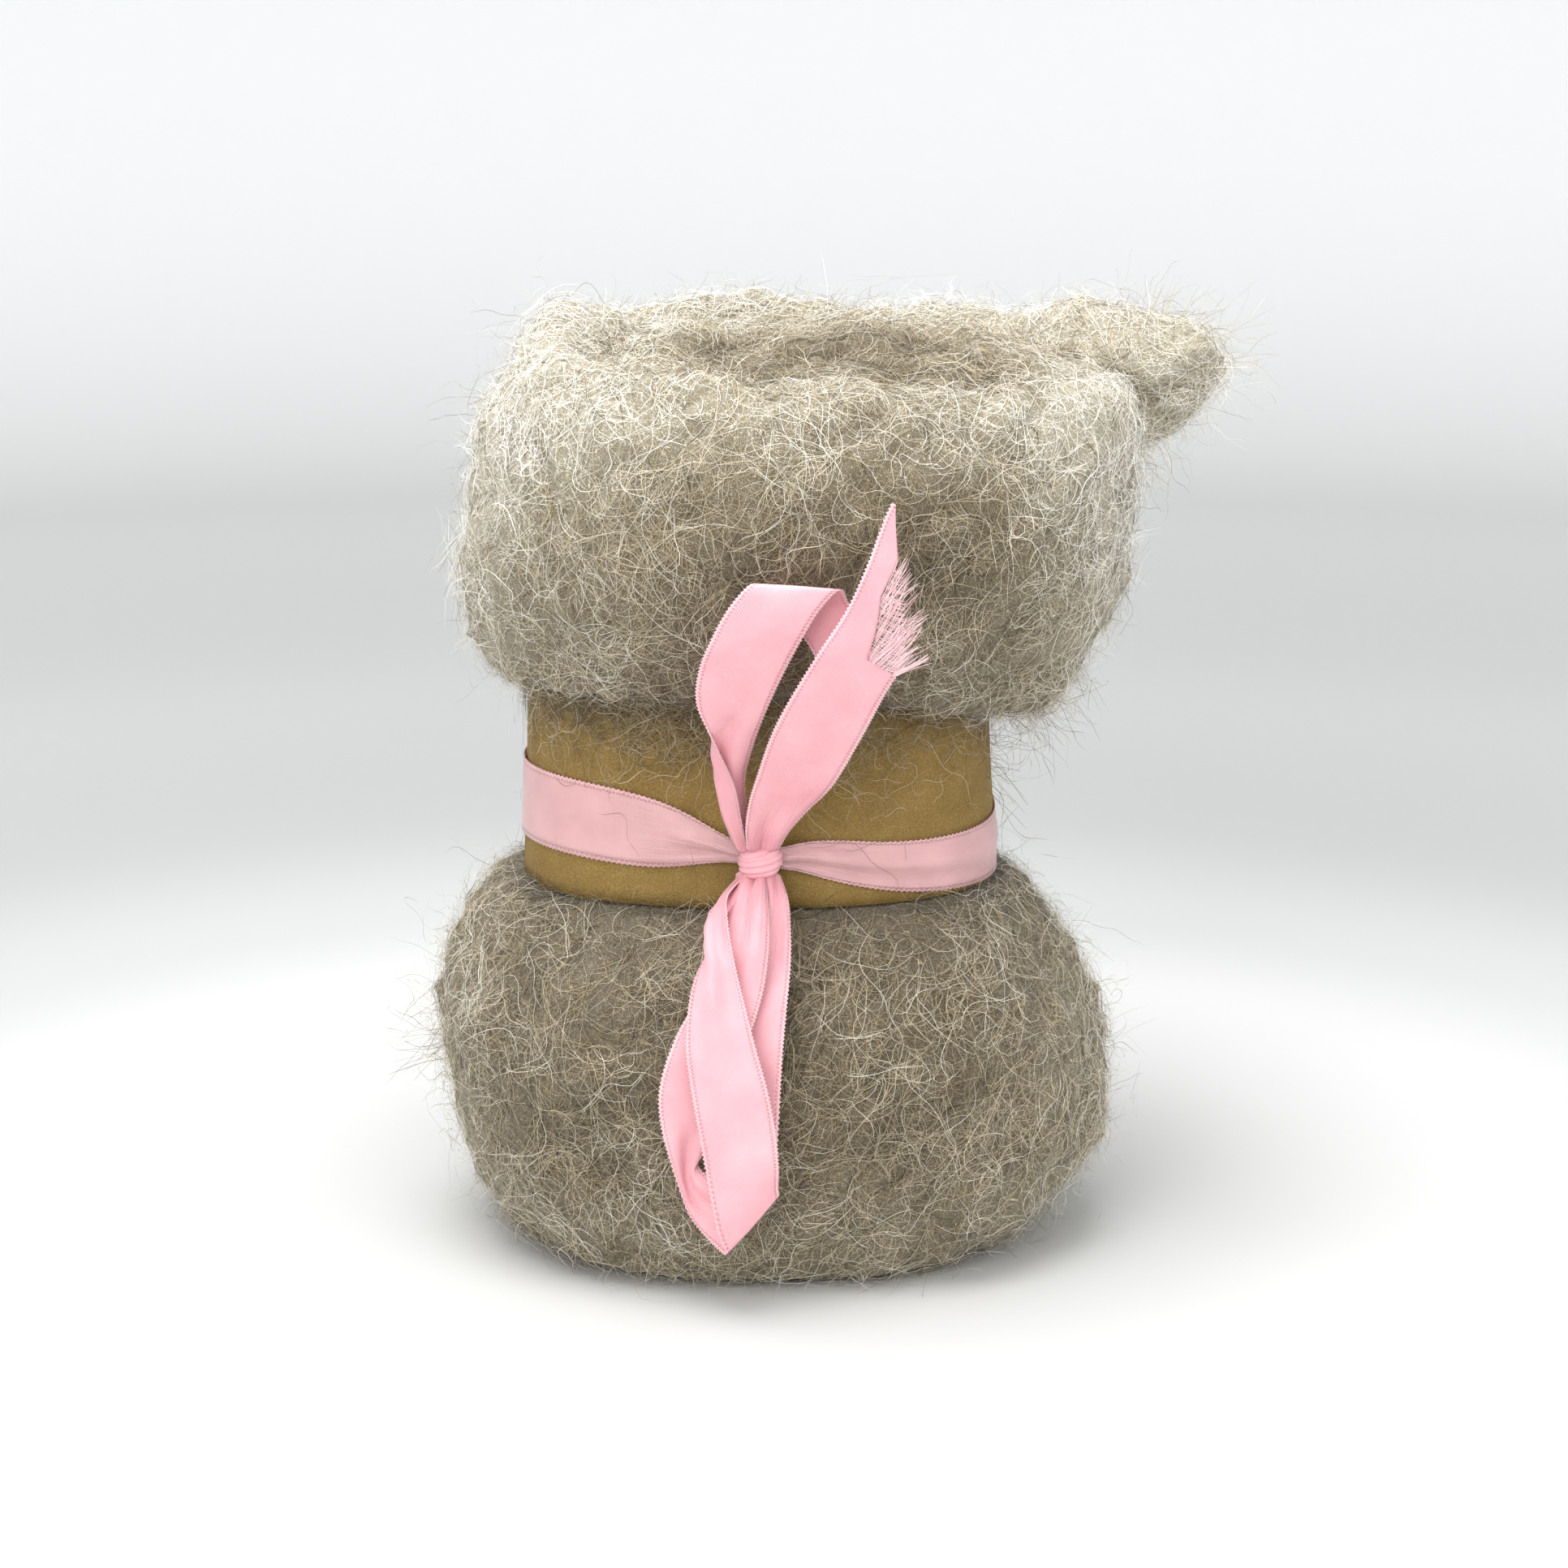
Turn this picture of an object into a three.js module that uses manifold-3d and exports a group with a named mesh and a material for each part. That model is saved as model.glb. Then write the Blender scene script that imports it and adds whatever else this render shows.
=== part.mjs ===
// A carded wool batt, wound into a roll that stands on its end. A strip of kraft
// paper draws in its waist, and a satin ribbon holds the paper with a bow.
// Millimetres, +Z up. The origin is the middle of the flat base, the bow faces -Y.
import * as THREE from 'three';
import { mergeVertices } from 'three/addons/utils/BufferGeometryUtils.js';
import Module from 'manifold-3d';

const wasm = await Module();
wasm.setup();

// driving sizes
const pieceGap = 0.3;           // clear space between one piece and the next
const waistWidth = 122;         // across the paper, left to right, at its lower edge
const waistDepth = 96;          // across the paper, front to back, at its lower edge
const waistTaper = 4;           // the paper is this much narrower at its upper edge
const waistSquareness = 2.4;    // 2 is an ellipse, more is boxier
const paperBottom = 94.5;
const paperHeight = 51;
const paperThickness = 1;
const ribbonWidth = 19;
const ribbonThickness = 1;
const frontLipHeight = 227;     // crown of the outer layer, at the front
const backRise = 6.5;           // the back of the roll stands this much higher
const backRiseRun = [-50, 45];  // the height grows between these places, front to back
const roundSteps = 64;          // faces around the roll

const degrees = Math.PI / 180;

function smoothStep(from, to, value) {
  const t = THREE.MathUtils.clamp((value - from) / (to - from), 0, 1);
  return t * t * (3 - 2 * t);
}

function bell(distance, spread) {
  return Math.exp(-((distance / spread) ** 2));
}

// the shorter way round between two angles in degrees
function turnBetween(a, b) {
  return Math.abs(((a - b + 540) % 360) - 180);
}

// radius of a rounded section whose reach differs to the left, right, front and back
function sectionRadius(section, angle) {
  const c = Math.cos(angle);
  const s = Math.sin(angle);
  const across = c > 0 ? section.right : section.left;
  const along = s > 0 ? section.back : section.front;
  const n = section.square;
  return (Math.abs(c / across) ** n + Math.abs(s / along) ** n) ** (-1 / n);
}

// the paper's section at a height, made smaller or larger by a step outwards
function waistSection(z, step) {
  const narrowing = ((z - paperBottom) / paperHeight) * (waistTaper / 2);
  const across = waistWidth / 2 - narrowing + step;
  const along = waistDepth / 2 - narrowing + step;
  return { left: across, right: across, front: along, back: along, square: waistSquareness };
}

// a point on the waist, at an angle, a height and a step outwards from the paper
function waistPoint(angle, z, step) {
  const radius = sectionRadius(waistSection(z, step), angle);
  return new THREE.Vector3(radius * Math.cos(angle), radius * Math.sin(angle), z);
}

// closed body from rings of points, each a list of the same length, with a point at either end
function loftGeometry(rings, firstPoint, lastPoint) {
  const count = rings[0].length;
  const positions = [...rings.flat(), firstPoint, lastPoint].flatMap((p) => [p.x, p.y, p.z]);
  const first = rings.length * count;
  const last = first + 1;
  const index = [];
  for (let i = 0; i < count; i += 1) {
    const next = (i + 1) % count;
    index.push(first, next, i);
    for (let ring = 0; ring < rings.length - 1; ring += 1) {
      const a = ring * count + i;
      const b = ring * count + next;
      index.push(a, b, b + count, a, b + count, a + count);
    }
    const top = (rings.length - 1) * count;
    index.push(last, top + i, top + next);
  }
  return orientedGeometry(positions, index);
}

// turns every face outwards, whichever way round the rings were listed
function orientedGeometry(positions, index) {
  let volume = 0;
  const corner = (i) => new THREE.Vector3().fromArray(positions, i * 3);
  for (let i = 0; i < index.length; i += 3) {
    volume += corner(index[i]).dot(corner(index[i + 1]).cross(corner(index[i + 2])));
  }
  if (volume < 0) {
    index.reverse();
  }
  const geometry = new THREE.BufferGeometry();
  geometry.setAttribute('position', new THREE.Float32BufferAttribute(positions, 3));
  geometry.setIndex(index);
  return geometry;
}

function solidFrom(geometry) {
  const merged = mergeVertices(geometry, 1e-4);
  const vertProperties = new Float32Array(merged.attributes.position.array);
  const triVerts = new Uint32Array(merged.index.array);
  return new wasm.Manifold(new wasm.Mesh({ numProp: 3, vertProperties, triVerts }));
}

function geometryFrom(solid) {
  const mesh = solid.getMesh();
  const geometry = new THREE.BufferGeometry();
  geometry.setAttribute('position', new THREE.BufferAttribute(mesh.vertProperties, 3));
  geometry.setIndex(new THREE.BufferAttribute(mesh.triVerts, 1));
  return geometry;
}

// The wool roll, from its flat base to its shoulder. soft is how far the layers' own
// unevenness shows there, droop is how far the wool sags over the paper's upper edge.
const woolSections = [
  { z: 0, left: 57, right: 60, front: 56, back: 52, soft: 0, droop: 0 },
  { z: 2.5, left: 64, right: 69, front: 62, back: 58, soft: 0, droop: 0 },
  { z: 8, left: 69.5, right: 77, front: 66, back: 63, soft: 0.3, droop: 0 },
  { z: 16, left: 73, right: 84.5, front: 69, back: 67, soft: 0.7, droop: 0 },
  { z: 26, left: 76.5, right: 90, front: 71.5, back: 69.5, soft: 1, droop: 0 },
  { z: 37, left: 80, right: 92, front: 73, back: 71, soft: 1, droop: 0 },
  { z: 48, left: 82, right: 91.5, front: 73, back: 71, soft: 1, droop: 0 },
  { z: 58, left: 83, right: 88, front: 72, back: 70, soft: 1, droop: 0 },
  { z: 68, left: 82.5, right: 83.5, front: 69.5, back: 68, soft: 1, droop: 0 },
  { z: 77, left: 80, right: 78.5, front: 65.5, back: 65, soft: 0.8, droop: 0 },
  { z: 85, left: 76, right: 73, front: 60, back: 60, soft: 0.5, droop: 0 },
  { z: 90.5, left: 70, right: 68, front: 54.5, back: 55, soft: 0.2, droop: 0 },
  { z: 93, left: 64, right: 63.5, front: 50.5, back: 50.5, soft: 0, droop: 0 },
  { z: 94.2, inPaper: true },
  { z: 111, inPaper: true },
  { z: 129, inPaper: true },
  { z: 146.2, inPaper: true },
  { z: 147.6, left: 62.5, right: 63, front: 49.5, back: 49.5, soft: 0, droop: 0 },
  { z: 149, left: 64.5, right: 66.5, front: 54.5, back: 55, soft: 0.2, droop: 1 },
  { z: 154, left: 68.5, right: 76, front: 60.5, back: 60.5, soft: 0.6, droop: 0.93 },
  { z: 162, left: 72.5, right: 84.5, front: 65.5, back: 65.5, soft: 1, droop: 0.8 },
  { z: 172, left: 74.5, right: 91, front: 68.5, back: 68.5, soft: 1, droop: 0.5 },
  { z: 184, left: 74, right: 94.5, front: 70, back: 70, soft: 1, droop: 0.2 },
  { z: 196, left: 72, right: 96, front: 70, back: 70, soft: 1, droop: 0 },
  { z: 206, left: 70.5, right: 97, front: 69, back: 69, soft: 0.8, droop: 0 },
  { z: 214, left: 68, right: 95.5, front: 66.5, back: 67.5, soft: 0.5, droop: 0 },
  { z: 220.5, left: 64, right: 91, front: 63, back: 65, soft: 0.2, droop: 0 },
];
const woolSquareness = 2.35;

// where the wool hangs over the paper: 0 degrees is the right, 90 the back
const droops = [
  { angle: 0, spread: 42, size: 26 },
  { angle: 100, spread: 45, size: 7 },
  { angle: 180, spread: 55, size: 5 },
];

// slow waves that make the roll uneven, as a hand-rolled one is
const waves = [
  { around: 2, up: 0.021, shift: 0.6, size: 0.7 },
  { around: 3, up: 0.047, shift: 2.1, size: 0.6 },
  { around: 5, up: 0.083, shift: 4.4, size: 0.5 },
];

// the outer end of the batt: a soft step that runs up the roll, behind its right side
const outerEnd = { angle: 12, depth: 5, width: 9, run: 80 };

// The winding, seen from above. Each furrow lies between two layers, and turns inwards
// clockwise from the outer end. Places go from 1 at the roll's edge to 0 at its centre.
const winding = {
  turns: 2,
  reach: 0.6,          // how far in the furrow comes in its first turn
  tightening: 0.68,    // under 1, the inner layers lie closer together
  depth: 12,           // from a layer's crown to the furrow beside it, in the first turn
  shallowing: 3,       // less depth for each turn
  roundness: 2.2,      // 2 is a round crown, more is a flatter one
  lipWidth: 0.12,      // the part of the top that rounds over into the side
  fullWidth: 0.3,      // a layer narrower than this has a shallower furrow
};
const windingCentre = { x: 8, y: 2 };
const topRings = 18;

// high and low places on the top of the roll
const mounds = [
  { x: -5, y: 42, radius: 17, rise: 4 },
  { x: -48, y: 8, radius: 22, rise: 4.5 },
  { x: 50, y: 18, radius: 20, rise: 2 },
  { x: -20, y: -12, radius: 15, rise: -5 },
  { x: 76, y: 10, radius: 13, rise: -5 },
];

function unevenness(angle, z) {
  return waves.reduce(
    (sum, w) => sum + w.size * Math.sin(w.around * angle + w.shift) * Math.cos(w.up * z + w.shift),
    0,
  );
}

// how far the roll steps in past the outer end of the batt
function stepAtOuterEnd(angle) {
  const past = (((angle / degrees - outerEnd.angle) % 360) + 360) % 360;
  return outerEnd.depth * smoothStep(0, outerEnd.width, past) * bell(past, outerEnd.run);
}

function sagOverPaper(angle) {
  return droops.reduce((sum, d) => sum + d.size * bell(turnBetween(angle / degrees, d.angle), d.spread), 0);
}

function woolSidePoint(row, angle) {
  const section = row.inPaper
    ? waistSection(row.z, -paperThickness - pieceGap)
    : { ...row, square: woolSquareness };
  const soft = row.soft ?? 0;
  const radius = sectionRadius(section, angle) + soft * (unevenness(angle, row.z) - stepAtOuterEnd(angle));
  const z = row.z - (row.droop ?? 0) * sagOverPaper(angle);
  return new THREE.Vector3(radius * Math.cos(angle), radius * Math.sin(angle), z);
}

// where a furrow lies after some turns: 1 at the roll's edge, 0 at its centre
function furrowPlace(turns) {
  return 1 - winding.reach * turns ** winding.tightening;
}

// how far the layers stand below their crowns, at a place between the centre and the edge
function furrowDepth(angle, place) {
  const start = (((outerEnd.angle - angle / degrees) % 360) + 360) % 360 / 360;
  let outer = 1 + winding.lipWidth;
  let depth = 0;
  for (let turns = start; turns < winding.turns; turns += 1) {
    const inner = Math.max(furrowPlace(turns), 0);
    if (place <= outer && place >= inner) {
      const middle = (outer + inner) / 2;
      const offCrown = Math.abs(place - middle) / ((outer - inner) / 2);
      const fullness = Math.min((outer - inner) / winding.fullWidth, 1);
      depth = (winding.depth - winding.shallowing * turns) * fullness * offCrown ** winding.roundness;
    }
    outer = inner;
  }
  return depth;
}

function woolTopPoint(angle, place, edge) {
  const x = windingCentre.x + (edge.x - windingCentre.x) * place;
  const y = windingCentre.y + (edge.y - windingCentre.y) * place;
  const mound = mounds.reduce((sum, m) => sum + m.rise * bell(Math.hypot(x - m.x, y - m.y), m.radius), 0);
  const crown = frontLipHeight + backRise * smoothStep(...backRiseRun, y) + mound;
  const layered = crown - furrowDepth(angle, place);
  const inside = smoothStep(0, winding.lipWidth, 1 - place);
  return new THREE.Vector3(x, y, THREE.MathUtils.lerp(edge.z, layered, inside));
}

function woolRoll() {
  const angles = Array.from({ length: roundSteps }, (_, i) => (i / roundSteps) * 2 * Math.PI);
  const rings = woolSections.map((row) => angles.map((angle) => woolSidePoint(row, angle)));
  const edge = rings[rings.length - 1];
  for (let ring = 1; ring < topRings; ring += 1) {
    const place = 1 - ring / topRings;
    rings.push(angles.map((angle, i) => woolTopPoint(angle, place, edge[i])));
  }
  const base = new THREE.Vector3(0, 0, 0);
  const inner = rings[rings.length - 1];
  const centre = new THREE.Vector3(windingCentre.x, windingCentre.y, inner[0].z);
  return loftGeometry(rings, base, centre);
}

// The loose end of the batt at the top right: sections along the lobe, from inside the roll
// to its tip, each with the half height and half thickness of the folded wool.
const looseEndSections = [
  { x: 44, y: 34, z: 212, high: 12, thick: 12 },
  { x: 58, y: 31, z: 213, high: 17, thick: 17 },
  { x: 71, y: 27.5, z: 214.5, high: 20, thick: 19 },
  { x: 82, y: 24.5, z: 216, high: 20.5, thick: 19 },
  { x: 92, y: 22, z: 217, high: 19.5, thick: 17.5 },
  { x: 101, y: 20, z: 218.5, high: 17.5, thick: 15.5 },
  { x: 109, y: 18.5, z: 220, high: 14, thick: 13 },
  { x: 115, y: 18, z: 221.5, high: 9.5, thick: 9.5 },
  { x: 118.5, y: 18, z: 222.5, high: 4.5, thick: 5 },
];
const looseEndSteps = 20;
const looseEndTip = new THREE.Vector3(119.6, 18, 222.5);
// a crease runs along the lobe where its wool is folded, low on its front
const looseEndCrease = { angle: 205, spread: 28, share: 0.24 };

function looseEnd() {
  const rings = looseEndSections.map((row) =>
    Array.from({ length: looseEndSteps }, (_, i) => {
      const turn = (i / looseEndSteps) * 360;
      const { angle, spread, share } = looseEndCrease;
      const size = 1 - share * bell(turnBetween(turn, angle), spread);
      const across = row.thick * size * Math.cos(turn * degrees);
      const up = row.high * size * Math.sin(turn * degrees);
      return new THREE.Vector3(row.x, row.y + across, row.z + up);
    }),
  );
  const root = looseEndSections[0];
  return loftGeometry(rings, new THREE.Vector3(root.x, root.y, root.z), looseEndTip);
}

function woolBatt() {
  return geometryFrom(solidFrom(woolRoll()).add(solidFrom(looseEnd())));
}

// The paper strip: once round the waist, its outer end lapped over the inner one at the back.
// Its angles are in degrees.
const lap = {
  angle: 84,
  overlap: 22,
  ease: 26,     // the turn over which the outer end climbs onto the inner one
  ahead: 8,     // the ribbon over it starts to climb this much sooner
  steps: 72,
};

function paperBand() {
  const upper = paperBottom + paperHeight;
  const rings = [];
  for (let i = 0; i <= lap.steps; i += 1) {
    const turn = (i / lap.steps) * (360 + lap.overlap);
    const angle = (lap.angle + turn) * degrees;
    const outside = (paperThickness + pieceGap) * smoothStep(360 - lap.ease, 360, turn);
    const inside = outside - paperThickness;
    rings.push([
      waistPoint(angle, upper, outside),
      waistPoint(angle, upper, inside),
      waistPoint(angle, paperBottom, inside),
      waistPoint(angle, paperBottom, outside),
    ]);
  }
  return stripGeometry(rings);
}

// closed body from rings of points with a flat end at the first and last ring
function stripGeometry(rings) {
  const middle = (ring) => {
    const sum = ring.reduce((total, point) => total.add(point), new THREE.Vector3());
    return sum.divideScalar(ring.length);
  };
  return loftGeometry(rings, middle(rings[0]), middle(rings[rings.length - 1]));
}

// the sharpest fold that the ribbon's inner side is mitred for, as a cosine
const sharpestFold = 0.35;

// one ring of a ribbon: its face and its back, each a left edge, a crease and a right edge
function ribbonRing(line, along, thickness) {
  const sides = [line[1].clone().sub(line[0]), line[2].clone().sub(line[1])];
  const normals = sides.map((side) => side.cross(along).normalize());
  const crease = normals[0].clone().add(normals[1]).normalize();
  const spread = Math.max(crease.dot(normals[0]), sharpestFold);
  const bend = sides[0].copy(line[2]).add(line[0]).divideScalar(2).sub(line[1]).dot(crease);
  const half = thickness / 2;
  const inner = half / spread;
  const face = [
    line[0].clone().addScaledVector(normals[0], half),
    line[1].clone().addScaledVector(crease, bend > 0 ? inner : half),
    line[2].clone().addScaledVector(normals[1], half),
  ];
  const back = [
    line[2].clone().addScaledVector(normals[1], -half),
    line[1].clone().addScaledVector(crease, bend > 0 ? -half : -inner),
    line[0].clone().addScaledVector(normals[0], -half),
  ];
  return [...face, ...back];
}

// a ribbon through a list of lines, each its left edge, the crease along it and its right edge
function ribbonThrough(lines) {
  const rings = lines.map((line, i) => {
    const before = lines[Math.max(i - 1, 0)];
    const after = lines[Math.min(i + 1, lines.length - 1)];
    return ribbonRing(line, after[1].clone().sub(before[1]), ribbonThickness);
  });
  return stripGeometry(rings);
}

// a loop or free end of the bow: the rows of its table, and smooth steps between them
function bowPiece(rows) {
  const curves = ['left', 'crease', 'right'].map((name) => {
    const points = rows.map((row) => new THREE.Vector3(...row[name]));
    return new THREE.CatmullRomCurve3(points, false, 'centripetal');
  });
  const steps = (rows.length - 1) * bowSteps;
  const lineAt = (share) => curves.map((curve) => curve.getPoint(share));
  return ribbonThrough(Array.from({ length: steps + 1 }, (_, i) => lineAt(i / steps)));
}

// The ribbon's turn round the paper, from the left of the knot, past the back, to its right.
// turn is in degrees from the knot, lift is how far the gathers stand off the paper.
const wrapRows = [
  { turn: 6.6, z: 108, width: 4.6, lift: 2.2, fold: 0.9 },
  { turn: 10, z: 108, width: 6.6, lift: 1.2, fold: 0.9 },
  { turn: 15, z: 108.2, width: 9.4, lift: 0.4, fold: 0.8 },
  { turn: 23, z: 109.3, width: 12.6, lift: 0, fold: 0.6 },
  { turn: 38, z: 112.6, width: 15.4, lift: 0, fold: 0.4 },
  { turn: 52, z: 114.4, width: 17.4, lift: 0, fold: 0.2 },
  { turn: 70, z: 115, width: 18.8, lift: 0, fold: 0 },
  { turn: 90, z: 114.7, width: ribbonWidth, lift: 0, fold: 0 },
  { turn: 120, z: 112.6, width: ribbonWidth, lift: 0, fold: 0 },
  { turn: 150, z: 110.3, width: ribbonWidth, lift: 0, fold: 0 },
  { turn: 180, z: 108, width: ribbonWidth, lift: 0, fold: 0 },
  { turn: 210, z: 106, width: 18.2, lift: 0, fold: 0 },
  { turn: 240, z: 104.3, width: 17, lift: 0, fold: 0.2 },
  { turn: 270, z: 103.1, width: 15.6, lift: 0, fold: 0.3 },
  { turn: 290, z: 102.6, width: 14.6, lift: 0, fold: 0.4 },
  { turn: 308, z: 102.8, width: 13.6, lift: 0, fold: 0.4 },
  { turn: 322, z: 103.8, width: 12.4, lift: 0, fold: 0.5 },
  { turn: 336, z: 106, width: 10.8, lift: 0, fold: 0.6 },
  { turn: 344, z: 107.4, width: 9, lift: 0.4, fold: 0.8 },
  { turn: 349, z: 108, width: 6.6, lift: 1.2, fold: 0.9 },
  { turn: 351.5, z: 108, width: 4.6, lift: 2.2, fold: 0.9 },
];
const wrapSteps = 68;

// how far the ribbon rises over the lapped end of the paper
function riseOverLap(angle) {
  const place = ((angle / degrees % 360) + 360) % 360;
  const outerEdge = lap.angle + lap.overlap;
  const up = smoothStep(lap.angle - lap.ease - lap.ahead, lap.angle - lap.ahead, place);
  const down = 1 - smoothStep(outerEdge, outerEdge + lap.ease, place);
  return (paperThickness + pieceGap) * up * down;
}

// the wrap's row at a turn, worked out from its neighbours in the table
function wrapRowAt(turn) {
  const after = Math.max(wrapRows.findIndex((row) => row.turn >= turn), 1);
  const [from, to] = [wrapRows[after - 1], wrapRows[after]];
  const share = (turn - from.turn) / (to.turn - from.turn);
  const between = (name) => THREE.MathUtils.lerp(from[name], to[name], share);
  return { z: between('z'), width: between('width'), lift: between('lift'), fold: between('fold') };
}

function ribbonWrap() {
  const first = wrapRows[0].turn;
  const last = wrapRows[wrapRows.length - 1].turn;
  const lines = Array.from({ length: wrapSteps + 1 }, (_, i) => {
    const turn = THREE.MathUtils.lerp(first, last, i / wrapSteps);
    const row = wrapRowAt(turn);
    const angle = (-90 - turn) * degrees;
    const step = pieceGap + ribbonThickness / 2 + row.lift + riseOverLap(angle);
    return [
      waistPoint(angle, row.z + row.width / 2, step),
      waistPoint(angle, row.z, step + row.fold),
      waistPoint(angle, row.z - row.width / 2, step),
    ];
  });
  return ribbonThrough(lines);
}

// the knot: a short rounded block of tightly folded ribbon
const knot = { x: 0.7, y: -53, z: 107.9, halfWidth: 5.9, halfDepth: 3.7, halfHeight: 3.4, squareness: 3.6 };

function ribbonKnot() {
  const aroundSteps = 20;
  const upSteps = 8;
  const rounded = (x, y, z) => {
    const n = knot.squareness;
    const size = (Math.abs(x) ** n + Math.abs(y) ** n + Math.abs(z) ** n) ** (-1 / n);
    return new THREE.Vector3(
      knot.x + x * size * knot.halfWidth,
      knot.y + y * size * knot.halfDepth,
      knot.z + z * size * knot.halfHeight,
    );
  };
  const rings = [];
  for (let j = 1; j < upSteps; j += 1) {
    const rise = (j / upSteps - 0.5) * Math.PI;
    rings.push(Array.from({ length: aroundSteps }, (_, i) => {
      const angle = (i / aroundSteps) * 2 * Math.PI;
      return rounded(Math.cos(rise) * Math.cos(angle), Math.cos(rise) * Math.sin(angle), Math.sin(rise));
    }));
  }
  return loftGeometry(rings, rounded(0, 0, -1), rounded(0, 0, 1));
}

// smoothed steps from one row of a bow table to the next
const bowSteps = 3;

// the loop above the knot: up the front with its left margin folded forward, over the top,
// and down behind the free end
const upperLoopRows = [
  { left: [-2.6, -55.5, 111.7], crease: [-4.6, -54, 111.7], right: [-3.4, -52.4, 111.7] },
  { left: [-3.8, -60.5, 120], crease: [-8, -58.5, 119.5], right: [-2.6, -57, 120.5] },
  { left: [-5.5, -66.5, 130], crease: [-9.8, -64, 129.5], right: [-2.8, -62.5, 131] },
  { left: [-9.6, -72, 140.5], crease: [-12, -70, 141], right: [-0.6, -69.5, 141] },
  { left: [-14, -76, 151.5], crease: [-9.5, -76.1, 150.5], right: [3, -75.4, 151.5] },
  { left: [-13.4, -79, 160], crease: [-5, -79, 158.5], right: [6.5, -78, 159.5] },
  { left: [-10.4, -81.5, 168], crease: [-1, -82, 167], right: [10.4, -80.5, 167.5] },
  { left: [-6, -82.5, 176], crease: [4.4, -83, 175], right: [15.2, -81.5, 175.5] },
  { left: [-1, -81.5, 181], crease: [9.4, -82, 180.5], right: [19.6, -80.5, 179.5] },
  { left: [2.5, -77.5, 178.5], crease: [12.4, -78, 178], right: [21.4, -77, 176] },
  { left: [9, -75, 170], crease: [17.5, -76, 170], right: [25.5, -76, 167.5] },
  { left: [14, -74.5, 161.5], crease: [20.4, -76, 160], right: [28, -76, 158] },
  { left: [12, -73.5, 152], crease: [18.6, -74.5, 151], right: [25.5, -74, 149] },
  { left: [6.5, -68.5, 140], crease: [11, -69.5, 138.5], right: [17, -69, 136] },
  { left: [3, -60.5, 127], crease: [6, -61, 126], right: [10.4, -60.5, 124] },
  { left: [0, -53, 115], crease: [2.2, -53.2, 114.5], right: [4.6, -52.6, 114.5] },
  { left: [0, -51.2, 111.7], crease: [1.4, -51.6, 111.7], right: [3, -51.2, 111.7] },
];

// the free end above the knot, cut on a slant, its weft fraying at the cut
const upperTailRows = [
  { left: [-1.2, -56, 111.7], crease: [2, -54.9, 111.7], right: [5.4, -55.4, 111.7] },
  { left: [-2, -60, 118], crease: [2, -58.5, 117], right: [8, -59, 117] },
  { left: [-1.5, -64, 125], crease: [4.4, -62.5, 123], right: [12.4, -63, 123] },
  { left: [1, -69, 133], crease: [8.2, -68, 130.5], right: [17.9, -68.5, 130] },
  { left: [5.5, -76, 146.5], crease: [14, -75.6, 143.5], right: [24.5, -75.2, 142.5] },
  { left: [14.2, -82.5, 164.5], crease: [22.4, -82, 161], right: [31.9, -80.5, 157.5] },
  { left: [20.8, -84, 175], crease: [27.9, -83.5, 170], right: [35, -82, 164] },
  { left: [25.4, -84.5, 185], crease: [29.7, -84.5, 179.5], right: [35, -83.5, 172] },
  { left: [30.4, -84.5, 197.4], crease: [31.6, -84.5, 194], right: [33.2, -84.2, 188.5] },
];

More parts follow.
